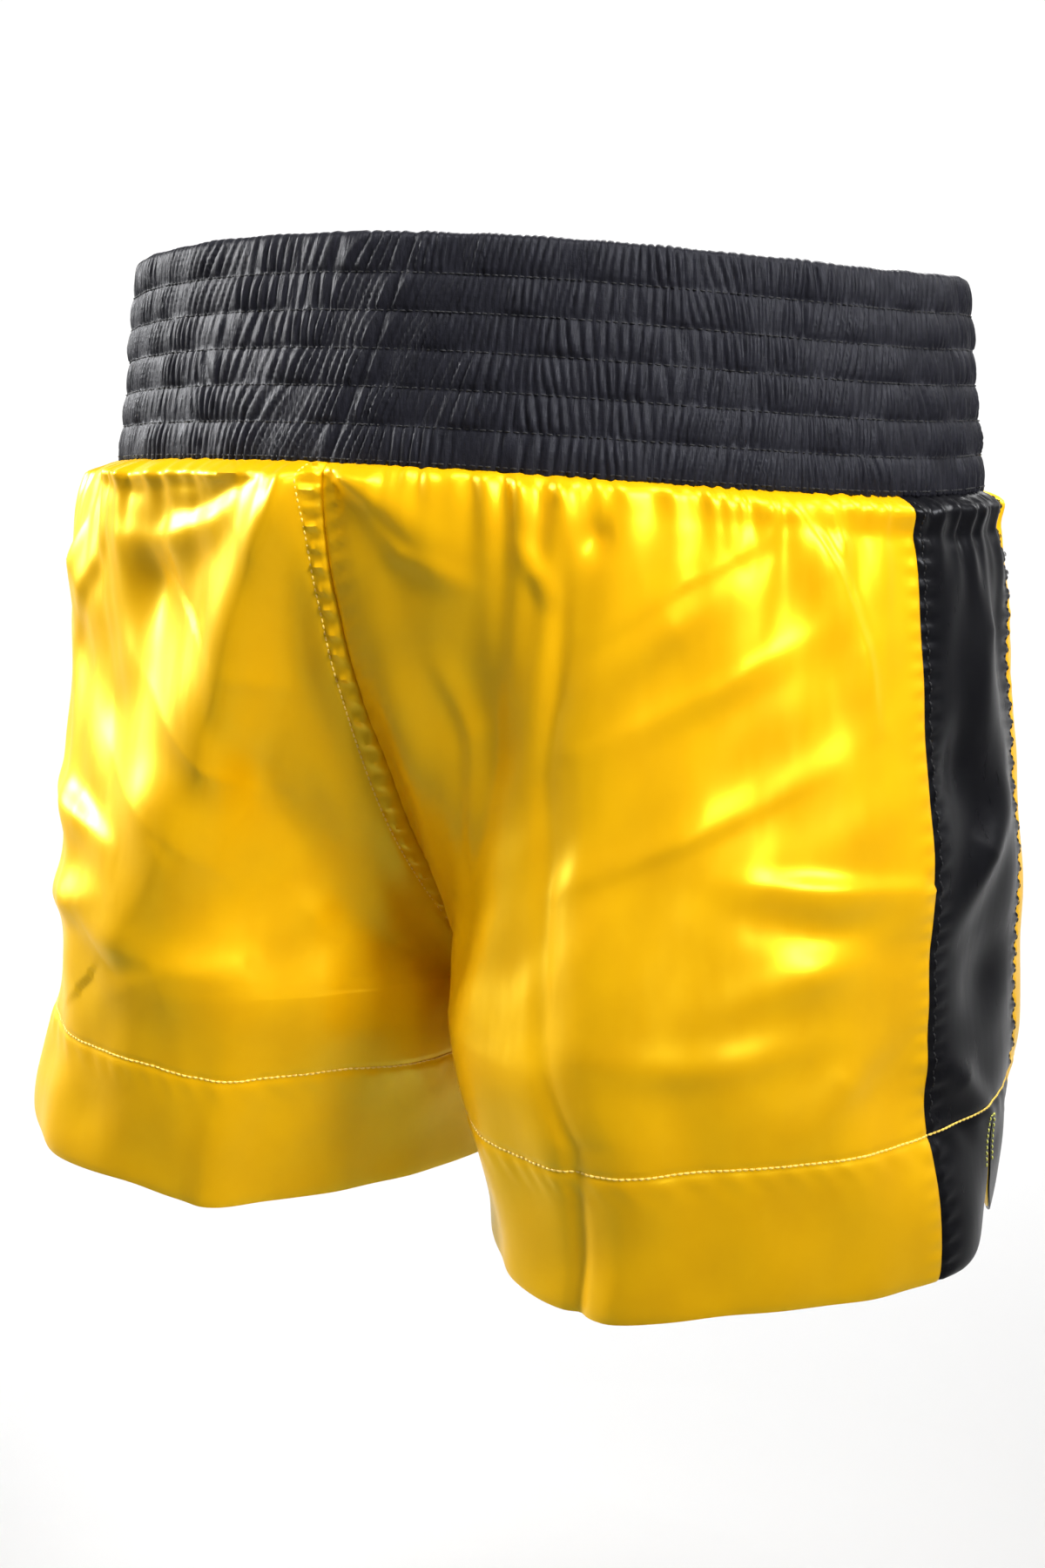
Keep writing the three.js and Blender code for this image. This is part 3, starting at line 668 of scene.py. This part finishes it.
def side_panel(name, side, material, columns=34):
    """The black side panel: two halves that share their middle line down to the vent."""
    upper = np.linspace(0, VENT_ROW, 146)
    rows = np.concatenate([upper, np.linspace(VENT_ROW, 1, 35)[1:]])
    front, front_pattern = flap_grid(side, -1, rows, columns)
    back, back_pattern = flap_grid(side, 1, rows, columns)
    size = front[..., 0].size
    first = np.arange(size).reshape(front.shape[:2])
    second = first + size
    whole = len(upper)
    second[:whole, 0] = first[:whole, 0]
    second[-whole:, 0] = first[-whole:, 0]
    faces = []
    for number, turned in ((first, False), (second, True)):
        part = [grid_faces(number, closed_rows=True)]
        part += edge_cap(number[:, 0], True, whole - 1) + edge_cap(number[:, -1], False)
        faces += turn_over(part, turned == (side < 0))
    points = np.concatenate([front, back])
    pattern = np.concatenate([front_pattern, back_pattern])
    return link_piece(name, points, faces, material, pattern)


def hem_walk(side_shares, leg_shares):
    """Stations round a leg's hem from the vent's front edge by the inside leg to its back
    edge, as (facing, share of the flap or 1 + share of the panel)."""
    half = np.concatenate([side_shares, 1 + leg_shares[1:]])
    facing = np.concatenate([-np.ones(len(half)), np.ones(len(half) - 1)])
    return facing, np.concatenate([half, half[::-1][1:]])


def hem_place(facing, station, row, inset):
    """The distance from the side line at a station of the hem walk."""
    total = np.abs(walked(centre_angle(facing), row))
    seam = side_half_width(row)
    edge = vent_half_width(row) + inset
    on_flap = between(edge, seam, np.minimum(station, 1))
    on_leg = between(seam, total, np.maximum(station - 1, 0))
    return facing * np.where(station < 1, on_flap, on_leg)


def hem_lining(name, side, material):
    """The turned-up cloth inside the hem, stitched at its upper edge."""
    facing, station = hem_walk(np.linspace(0, 1, 25), np.linspace(0, 1, 131))
    flap_width = side_half_width(1.0) - vent_half_width(1.0)
    lifted = corner_lift(np.minimum(station, 1) * flap_width)
    lifted = np.where(station < 1, lifted, 0)
    top = STITCH_ROW - LINING_ABOVE_STITCH / SIDE_LENGTH
    hem = 1 - (lifted + LINING_INSET) / SIDE_LENGTH
    flat, depths = sheet_profile(np.linspace(0, 1, 28), LINING_THICKNESS)
    row = between(top, hem[None, :], flat[:, None])
    distance = hem_place(facing[None, :] + 0 * row, station[None, :] + 0 * row, row, LINING_INSET)
    angle = angle_at(distance, row)
    points = hung(side, angle, row, LINING_DEPTH + depths[:, None])
    number = np.arange(row.size).reshape(row.shape)
    faces = [grid_faces(number, closed_rows=True)]
    faces += edge_cap(number[:, 0], True) + edge_cap(number[:, -1], False)
    faces = turn_over(faces, side > 0)
    return link_piece(name, points, faces, material, flat_place(distance, row))


# ---- The waistband ----
PLEAT_COUNT = 288
BAND_SEAM_LEAN = 8.5
BAND_WALK_RADIUS = 160
# Depths under the band's face: of the cloth at a stitch row, and of the thread there.
ROW_DEPTH = 1.75
THREAD_DEPTH = 1.55
STEPS_A_CHANNEL = 8
OVER_POINTS = 5


def band_place(angle, drop, depth):
    """A place on the waistband: an ellipse that widens from the top edge down, tilted up at
    the back, and moved in by the depth. The outside puffs out at the wearer's left hip."""
    share = drop / BAND_HEIGHT
    half_width = between(BAND_TOP_WIDTH, BAND_BASE_WIDTH, share) / 2
    half_depth = between(BAND_TOP_DEPTH, BAND_BASE_DEPTH, share) / 2
    across = np.stack([half_depth * np.sin(angle), -half_width * np.cos(angle), 0 * angle], -1)
    back = -np.cos(angle) * np.abs(np.cos(angle))
    tilt = between(BAND_TOP_TILT, BAND_BASE_TILT, share) * back
    ring = np.stack([half_width * np.sin(angle), -half_depth * np.cos(angle), tilt - drop], -1)
    loose = 4 * bell(angle, 1.75, 0.7) * (1 - share) ** 2
    loose = loose * ease(BAND_THICKNESS - depth, 1.6, 4)
    return ring - unit(across) * (depth - loose)[..., None]


def pleat_phase(angle, drop):
    """Pleats counted round the band. Each stitch row has its own uneven spacing, the count
    slides from one row's to the next down a channel, and near the back seam the pleats lean
    with the seam."""
    level = np.clip(drop / CHANNEL_PITCH, 0, CHANNEL_COUNT - 1e-6)
    channel = np.floor(level)
    share = level - channel

    def spacing(row):
        wave = 0.9 * np.sin(7 * angle + 0.7 * row) + 0.5 * np.sin(13 * angle - 0.9 * row)
        wave += 0.25 * np.sin(29 * angle + 1.3 * row) + 0.14 * np.sin(53 * angle + 2.1 * row)
        return wave + 0.06 * np.sin(101 * angle + 2.9 * row)

    jump = 0.6 * np.sin(5 * angle + 4.7 * channel) + 0.4 * np.sin(17 * angle + 2.3 * channel)
    lean = math.radians(BAND_SEAM_LEAN) * (1 - level / CHANNEL_COUNT)
    lean = lean * bell(angle, math.pi + 0.02, 0.42)
    count = PLEAT_COUNT * (angle - lean) / (2 * math.pi)
    return count + between(spacing(channel), spacing(channel + 1), share) + jump


def band_relief(angle, drop):
    """How far the gathered cloth stands out from its stitch rows: each channel is puffed
    between its rows, and pleats with rounded tops and pinched valleys cross it."""
    level = np.clip(drop / CHANNEL_PITCH, 0, CHANNEL_COUNT - 1e-6)
    channel = np.floor(level)
    share = level - channel
    puff = np.sin(math.pi * share) ** 0.7
    phase = pleat_phase(angle, drop)
    tall = 0.9 + 0.3 * np.sin(0.83 * phase + channel) + 0.22 * np.sin(0.37 * phase - 2 * channel)
    pleat = np.abs(np.sin(math.pi * phase)) ** 0.65
    fine = 0.12 * np.sin(3.3 * math.pi * phase + 3 * share)
    loose = 0.1 * np.sin(11 * angle + 2 * channel) + 0.12 * np.sin(31 * angle + 5 * channel)
    relief = (0.3 + loose) * puff + (tall * pleat + fine) * (0.85 + 0.8 * puff)
    seam = math.pi + math.radians(BAND_SEAM_LEAN) * (1 - level / CHANNEL_COUNT)
    off = (angle - seam) * MM_PER_RADIAN
    relief = relief * (1 - 0.85 * bell(off, 0, 1.3))
    return relief + 0.4 * bell(np.abs(off), 3.2, 1.6) * (0.4 + puff)


def waistband(material, columns=1440):
    """One strip of gathered cloth folded over the top edge: a closed ring whose section
    runs down the outside, across under the elastics, up the inside and over the top. The
    lower edge of the outside ripples down over the seam with the panels."""
    bottom = CHANNEL_COUNT * CHANNEL_PITCH
    even = np.arange(STEPS_A_CHANNEL) / STEPS_A_CHANNEL
    steps = between(even, (1 - np.cos(math.pi * even)) / 2, 0.45)
    outside = (np.arange(CHANNEL_COUNT)[:, None] + steps[None, :]).ravel() * CHANNEL_PITCH
    outside = np.concatenate([outside[1:], [bottom - 0.02]])
    inside = np.linspace(bottom - 0.5, 1.5, 3 * CHANNEL_COUNT - 2)
    angle = np.linspace(0, 2 * math.pi, columns + 1)[:-1][None, :]
    over = np.linspace(0, math.pi, OVER_POINTS + 2)[1:-1]
    drops = np.concatenate([outside, inside, 0.9 - 1.9 * np.sin(over)])
    relief_drop = np.concatenate([outside, inside, np.full(OVER_POINTS, 1.6)])[:, None]
    relief = band_relief(angle, relief_drop)
    out = ROW_DEPTH - relief[:len(outside)]
    inner = BAND_THICKNESS - THREAD_DEPTH + 0.62 * relief[len(outside):-OVER_POINTS]
    crest = relief[-OVER_POINTS:]
    middle = BAND_THICKNESS / 2
    top = middle + np.cos(over)[:, None] * (middle - ROW_DEPTH + crest * 0.8)
    depth = np.concatenate([out, inner, top])
    ripple = 0 * depth
    ripple[-OVER_POINTS:] = -0.5 * np.sin(over)[:, None] * (crest - 1.2)
    edge = len(outside) - 1
    ripple[edge - 1:edge + 2] = 1.1 * relief[edge] + 0.4
    drop = drops[:, None] + ripple
    points = band_place(angle + 0 * drop, drop, depth)
    number = np.arange(depth.size).reshape(depth.shape)
    faces = [grid_faces(number, closed_rows=True, closed_columns=True)]
    walk = angle * BAND_WALK_RADIUS * MM
    pattern = np.stack([walk + 0 * drop, (drops * MM)[:, None] + 0 * drop], -1)
    return link_piece("waistband_cloth", points, faces, material, pattern, 180)


# ---- Stitches ----
def stitch_shape(sides=6):
    """One stitch along its own length: a round-ended grain with two poles and three rings."""
    along = np.array([-0.72, 0, 0.72])
    radius = np.array([0.8, 1.0, 0.8])
    turn = np.arange(sides) * 2 * math.pi / sides
    rings = np.stack([
        np.repeat(along, sides),
        (radius[:, None] * np.cos(turn)).ravel(),
        (radius[:, None] * np.sin(turn)).ravel(),
    ], -1)
    grain = np.concatenate([[[-1, 0, 0]], rings, [[1, 0, 0]]])
    first, middle, last = (1 + k * sides + np.arange(sides) for k in range(3))
    near_cap = np.stack([0 * first, first, np.roll(first, -1)], -1)
    far_cap = np.stack([0 * last + 1 + 3 * sides, np.roll(last, -1), last], -1)
    bands = [np.stack([a, b, np.roll(b, -1), np.roll(a, -1)], -1)
             for a, b in ((first, middle), (middle, last))]
    return grain, np.concatenate([near_cap, far_cap]), np.concatenate(bands)


def lay_stitches(name, place, spots, pitch, length, width, material):
    """Stitches along a line of (angle, row) spots at an even pitch on the hung cloth. Each
    grain lies along the line and dips into the cloth at its ends."""
    spots = np.asarray(spots, float)
    fine = np.linspace(0, len(spots) - 1, 40 * len(spots))
    stations = np.arange(len(spots))
    first = np.interp(fine, stations, spots[:, 0])
    second = np.interp(fine, stations, spots[:, 1])
    line = place(first, second)
    travel = np.concatenate([[0], np.cumsum(np.linalg.norm(np.diff(line, axis=0), axis=1))])
    at = np.arange(pitch / 2, travel[-1] - pitch / 4, pitch)
    a, b = np.interp(at, travel, first), np.interp(at, travel, second)
    step, probe = 0.4, 2e-3
    ahead = place(np.interp(at + step, travel, first), np.interp(at + step, travel, second))
    behind = place(np.interp(at - step, travel, first), np.interp(at - step, travel, second))
    middle = place(a, b)
    outward = unit(np.cross(place(a + probe, b) - place(a - probe, b),
                            place(a, b - probe) - place(a, b + probe)))
    away = middle * np.array([1, 1, 0])
    outward = outward * np.where((outward * away).sum(-1) < 0, -1, 1)[:, None]
    along = unit(ahead - behind)
    across = np.cross(outward, along)
    grain, threes, fours = stitch_shape()
    x, y, z = grain[None, :, 0:1], grain[None, :, 1:2], grain[None, :, 2:3]
    high = width * (0.38 * z + 0.16 - 0.55 * x ** 2)
    points = (middle[:, None] + along[:, None] * x * length / 2
              + across[:, None] * y * width / 2 + outward[:, None] * high)
    offset = (np.arange(len(at)) * len(grain))[:, None, None]
    faces = [(threes[None] + offset).reshape(-1, 3), (fours[None] + offset).reshape(-1, 4)]
    return link_piece(name, points, turn_over(faces, True), material)


def spots_down(rows, distance):
    """Spots down the rows, each at its distance from the side line."""
    return np.stack([angle_at(distance, rows), rows], -1)


def sew(side, thread_depth=-0.12):
    """The places of one leg's cloth, lifted by a little so that thread lies on them."""
    return lambda angle, row: hung(side, angle, row, thread_depth)


def dress(piece, node):
    """Fixes a piece to the one body, and hides the node it replaces."""
    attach(piece, "root")
    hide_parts(node)
    return piece


def make_stitches(hand, side, golden, lime, black):
    """The stitching of one leg, as pieces by the name of their row."""
    cloth = sew(side)
    top, low = STITCH_END_GAP / SIDE_LENGTH, STITCH_ROW - STITCH_END_GAP / SIDE_LENGTH
    pieces = {}
    facing, station = hem_walk(np.linspace(0, 1, 16), np.linspace(0, 1, 90))
    row = np.full(len(station), STITCH_ROW)
    spots = spots_down(row, hem_place(facing, station, row, PIECE_GAP))
    inside_leg = len(spots) // 2
    front, back = spots[:inside_leg + 1].copy(), spots[inside_leg:].copy()
    front[-1, 0], back[0, 0] = 0, math.pi
    for word, spots in (("front", front), ("back", back)):
        piece = lay_stitches(f"hem_stitches_{word}_{hand}", cloth, spots, 2.3, 2.5, 0.95, golden)
        pieces[f"hem_{word}"] = dress(piece, f"hem_stitch_{hand}")
    rows = np.linspace(VENT_ROW + 0.004, 1 - VENT_CORNER_RADIUS / SIDE_LENGTH, 24)
    reach = vent_half_width(rows) + VENT_STITCH_INSET
    spots = np.concatenate([spots_down(rows, -reach)[::-1], spots_down(rows, reach)])
    piece = lay_stitches(f"vent_stitches_{hand}", cloth, spots, 2.2, 1.85, 0.7, lime)
    pieces["vent"] = dress(piece, f"vent_stitch_{hand}")
    rows = np.linspace(top, low, 60)
    reach = side_half_width(rows) - SIDE_STITCH_INSET
    for word, away in (("front", -reach), ("back", reach)):
        spots = spots_down(rows, away)
        piece = lay_stitches(f"{word}_side_stitches_{hand}", cloth, spots, 2.4, 2.0, 0.6, black)
        pieces[word] = dress(piece, f"{word}_side_stitch_{hand}")
    rows = np.linspace(between(CROTCH_ROW, 1, INSEAM_STITCH_START), low, 30)
    spots = spots_down(rows, walked(centre_angle(1), rows) - SEAM_STITCH_INSET)
    piece = lay_stitches(f"inseam_stitches_{hand}", cloth, spots, 2.3, 1.95, 0.65, golden)
    pieces["inseam"] = dress(piece, f"inseam_stitch_{hand}")
    return pieces


def centre_stitches(name, node, facing, material):
    """The row of topstitching beside a centre seam, on the wearer's left."""
    rows = np.linspace(STITCH_END_GAP / SIDE_LENGTH, CROTCH_ROW * CENTRE_STITCH_END, 50)
    reach = np.abs(walked(centre_angle(facing), rows)) - SEAM_STITCH_INSET
    spots = spots_down(rows, facing * reach)
    piece = lay_stitches(name, sew(1), spots, 2.4, 2.0, 0.7, material)
    return dress(piece, node)


def channel_stitches(number, material):
    """The stitch row under a channel, pressed into the valley between two puffs. The last
    row stands a little above the band's lower edge."""
    raised = 0.9 if number == CHANNEL_COUNT else 0
    drop = number * CHANNEL_PITCH - raised

    def valley(angle, height):
        relief = band_relief(angle, np.full_like(angle, drop))
        return band_place(angle, height, THREAD_DEPTH - relief)

    turn = np.linspace(0.002, 2 * math.pi - 0.002, 200)
    spots = np.stack([turn, np.full(200, drop)], -1)
    piece = lay_stitches(f"channel_stitches_{number}", valley, spots, 3.1, 2.4, 0.6, material)
    return dress(piece, f"channel_stitch_{number}")


# ---- Materials ----
def new_group(name, inputs, outputs):
    """A node group with values to give, each with its usual value, and values to take."""
    group = bpy.data.node_groups.new(name, "ShaderNodeTree")
    for label, value in inputs.items():
        socket = group.interface.new_socket(label, in_out="INPUT", socket_type="NodeSocketFloat")
        socket.default_value = value
    for label in outputs:
        group.interface.new_socket(label, in_out="OUTPUT", socket_type="NodeSocketFloat")
    given = group.nodes.new("NodeGroupInput").outputs
    return group, given, group.nodes.new("NodeGroupOutput").inputs


def cloth_coordinates(group, across, along):
    """The piece's place on the flat cloth, scaled to so many steps a metre each way."""
    place = group.nodes.new("ShaderNodeTexCoord")
    scale = group.nodes.new("ShaderNodeMapping")
    scale.inputs["Scale"].default_value = (across, along, 1)
    group.links.new(place.outputs["UV"], scale.inputs["Vector"])
    return scale.outputs["Vector"]


def noise(group, across, along, detail, rough=0.5):
    """Noise over the flat cloth, with so many steps a metre each way."""
    node = group.nodes.new("ShaderNodeTexNoise")
    node.inputs["Scale"].default_value = 1
    node.inputs["Detail"].default_value = detail
    node.inputs["Roughness"].default_value = rough
    group.links.new(cloth_coordinates(group, across, along), node.inputs["Vector"])
    return node.outputs["Fac"]


def blend_values(group, kind, first, second):
    node = group.nodes.new("ShaderNodeMath")
    node.operation = kind
    group.links.new(first, node.inputs[0])
    group.links.new(second, node.inputs[1])
    return node.outputs[0]


def wave_bands(tree, vector, across, scale, distortion=0.0, detail=2.0):
    """Even bands square to the axis named across."""
    node = tree.nodes.new("ShaderNodeTexWave")
    node.wave_type = "BANDS"
    node.bands_direction = across
    node.inputs["Scale"].default_value = scale
    node.inputs["Distortion"].default_value = distortion
    node.inputs["Detail"].default_value = detail
    tree.links.new(vector, node.inputs["Vector"])
    return node.outputs["Fac"]


def object_place(tree):
    """The place in the shorts' own frame, in metres."""
    return tree.nodes.new("ShaderNodeTexCoord").outputs["Object"]


def satin_weave():
    """Satin seen close: fine warp ribs, broken streaks along them and a soft mottle."""
    group, given, out = new_group("satin_weave", {"Rib Depth": 0.4},
                                  ("Relief", "Streaks", "Mottle"))
    ribs = wave_bands(group, cloth_coordinates(group, 2200, 700), "X", 0.32, 1.2, 1)
    streaks = noise(group, 260, 48, 2)
    mottle = noise(group, 42, 34, 3)
    relief = blend_values(group, "MULTIPLY", ribs, given["Rib Depth"])
    relief = blend_values(group, "ADD", relief, streaks)
    group.links.new(relief, out["Relief"])
    group.links.new(streaks, out["Streaks"])
    group.links.new(mottle, out["Mottle"])
    return group


def band_crinkle():
    """Crushed satin: narrow upright wrinkles finer than the pleats, and short cross ones."""
    group, given, out = new_group("band_crinkle", {"Cross Depth": 0.35, "Rib Depth": 0.12},
                                  ("Relief", "Streaks"))
    upright = noise(group, 1000, 130, 3, 0.6)
    short = noise(group, 420, 620, 2)
    ribs = noise(group, 3000, 3000, 1)
    short = blend_values(group, "MULTIPLY", short, given["Cross Depth"])
    ribs = blend_values(group, "MULTIPLY", ribs, given["Rib Depth"])
    relief = blend_values(group, "ADD", blend_values(group, "ADD", short, upright), ribs)
    group.links.new(relief, out["Relief"])
    group.links.new(upright, out["Streaks"])
    return group


def thread_twist():
    """Twisted sewing thread: slanted bands on the piece's own place."""
    group, given, out = new_group("thread_twist", {"Twist Depth": 1}, ("Twist",))
    bands = wave_bands(group, object_place(group), "DIAGONAL", 900, 2)
    group.links.new(blend_values(group, "MULTIPLY", bands, given["Twist Depth"]), out["Twist"])
    return group


def ramp(tree, value, stops, socket):
    """Feeds a socket with a colour that runs between two stops, each (value, colour)."""
    node = tree.nodes.new("ShaderNodeValToRGB")
    for element, (position, colour) in zip(node.color_ramp.elements, stops):
        element.position = position
        element.color = colour
    tree.links.new(value, node.inputs["Fac"])
    tree.links.new(node.outputs["Color"], socket)


def grey(value):
    return (value, value, value, 1)


def new_material(name, **constants):
    """A material whose shader has the given constants on its own sockets."""
    material = bpy.data.materials.new(name)
    material.use_nodes = True
    shader = material.node_tree.nodes["Principled BSDF"]
    for label, value in constants.items():
        shader.inputs[label.replace("_", " ")].default_value = value
    return material, material.node_tree, shader


def use_group(tree, group, **values):
    """Places a group in a material, with the material's own values for its inputs."""
    node = tree.nodes.new("ShaderNodeGroup")
    node.node_tree = group
    for label, value in values.items():
        node.inputs[label.replace("_", " ")].default_value = value
    return node.outputs


def bump_from(tree, shader, height, strength, distance):
    bump = tree.nodes.new("ShaderNodeBump")
    bump.inputs["Strength"].default_value = strength
    bump.inputs["Distance"].default_value = distance
    tree.links.new(height, bump.inputs["Height"])
    tree.links.new(bump.outputs["Normal"], shader.inputs["Normal"])


def satin(name, weave, rib_depth, dark, light, rough, **constants):
    """Satin: colour from the mottle, gloss from the streaks and a fine woven bump."""
    material, tree, shader = new_material(name, **constants)
    cloth = use_group(tree, weave, Rib_Depth=rib_depth)
    gloss = [(0.3, grey(rough[0])), (0.7, grey(rough[1]))]
    ramp(tree, cloth["Mottle"], [(0.3, dark), (0.7, light)], shader.inputs["Base Color"])
    ramp(tree, cloth["Streaks"], gloss, shader.inputs["Roughness"])
    bump_from(tree, shader, cloth["Relief"], 0.25, 0.00008)
    return material


def yellow_satin(weave):
    return satin("yellow_satin", weave, 0.4, (0.77, 0.36, 0.0, 1), (0.85, 0.42, 0.0, 1),
                 (0.30, 0.36), Specular_Tint=(1.0, 0.95, 0.06, 1), IOR=3.0)


def black_satin(weave):
    return satin("black_satin", weave, 0.4, (0.002, 0.002, 0.003, 1), (0.005, 0.005, 0.006, 1),
                 (0.27, 0.33), Specular_IOR_Level=0.13, Specular_Tint=(0.92, 0.94, 1.0, 1))


def band_satin(crinkle):
    """The band's crushed satin: colour and gloss from the streaks, and a deeper bump."""
    material, tree, shader = new_material("band_satin", Specular_IOR_Level=0.12,
                                          Specular_Tint=(0.9, 0.92, 1.0, 1))
    cloth = use_group(tree, crinkle, Cross_Depth=0.35, Rib_Depth=0.12)
    colours = [(0.3, (0.005, 0.005, 0.007, 1)), (0.7, (0.013, 0.013, 0.018, 1))]
    gloss = [(0.3, grey(0.5)), (0.7, grey(0.4))]
    ramp(tree, cloth["Streaks"], colours, shader.inputs["Base Color"])
    ramp(tree, cloth["Streaks"], gloss, shader.inputs["Roughness"])
    bump_from(tree, shader, cloth["Relief"], 0.6, 0.0006)
    return material


def thread(name, twist, dark, light, rough):
    """Twisted thread: colour and bump from the twist."""
    material, tree, shader = new_material(name, Roughness=rough, Specular_IOR_Level=0.3)
    strand = use_group(tree, twist, Twist_Depth=1)
    ramp(tree, strand["Twist"], [(0.2, dark), (0.8, light)], shader.inputs["Base Color"])
    bump_from(tree, shader, strand["Twist"], 0.3, 0.0001)
    return material


def elastic_webbing():
    """Knitted elastic: ribs round the waist."""
    material, tree, shader = new_material("elastic_webbing", Roughness=0.85)
    ribs = wave_bands(tree, object_place(tree), "Z", 260)
    colours = [(0.0, (0.008, 0.008, 0.009, 1)), (1.0, (0.022, 0.022, 0.024, 1))]
    ramp(tree, ribs, colours, shader.inputs["Base Color"])
    bump_from(tree, shader, ribs, 0.5, 0.0002)
    return material


def backdrop():
    """A round pale floor that curves up into a low wall: one profile turned about Z."""
    material = new_material("pale_backdrop", Roughness=0.9, Base_Color=grey(0.9))[0]
    floor = (cad_low.z - FLOOR_BELOW_HEM) / MM
    curve = np.linspace(0, math.pi / 2, 12)[1:]
    start, bend, wall = 3200, 1300, 3600
    radius = np.concatenate([[0, 1500, start], start + bend * np.sin(curve), [start + bend]])
    height = np.concatenate([[0, 0, 0], bend * (1 - np.cos(curve)), [wall]])
    turn = np.linspace(0, 2 * math.pi, 97)[:-1]
    points = np.stack([
        radius[:, None] * np.cos(turn),
        radius[:, None] * np.sin(turn),
        floor + height[:, None] + 0 * turn,
    ], -1)
    number = np.arange(points[..., 0].size).reshape(points.shape[:2])
    ring = number[1]
    middle = np.stack([0 * ring, ring, np.roll(ring, -1)], -1)
    faces = [middle, grid_faces(number[1:], closed_columns=True)]
    link_piece("pale_floor", points, faces, material)


# ---- Putting the shorts together ----
def make_shorts():
    """Every piece of the shorts, each on the root body in place of the node it stands for."""
    weave, crinkle, twist = satin_weave(), band_crinkle(), thread_twist()
    yellow, black, band = yellow_satin(weave), black_satin(weave), band_satin(crinkle)
    golden = thread("golden_thread", twist, (0.95, 0.58, 0.06, 1), (1.0, 0.78, 0.2, 1), 0.5)
    lime = thread("lime_thread", twist, (0.5, 0.5, 0.08, 1), (0.68, 0.68, 0.16, 1), 0.5)
    dark = thread("black_thread", twist, (0.006, 0.006, 0.007, 1), (0.014, 0.014, 0.016, 1), 0.55)
    webbing = elastic_webbing()
    elastics = [f"waist_elastic_{k + 1}" for k in range(ELASTIC_COUNT)]
    for name in elastics:
        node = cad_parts[name]
        node.data.materials.clear()
        node.data.materials.append(webbing)
    rows = [channel_stitches(k + 1, dark) for k in range(CHANNEL_COUNT)]
    casing = dress(waistband(band), "waistband_casing")
    centre = {
        -1: centre_stitches("centre_front_stitches", "centre_front_stitch", -1, golden),
        1: centre_stitches("centre_back_stitches", "centre_back_stitch", 1, golden),
    }
    for hand, side in (("left", 1), ("right", -1)):
        sewn = make_stitches(hand, side, golden, lime, dark)
        for facing, word in ((-1, "front"), (1, "back")):
            panel = main_panel(f"yellow_{word}_{hand}", side, facing, yellow)
            dress(panel, f"{word}_panel_{hand}")
        panel = dress(side_panel(f"black_side_{hand}", side, black),
                      f"side_panel_{hand}")
        lining = dress(hem_lining(f"hem_lining_{hand}", side, yellow),
                       f"hem_facing_{hand}")


place_camera()
light_the_studio()
backdrop()
make_shorts()
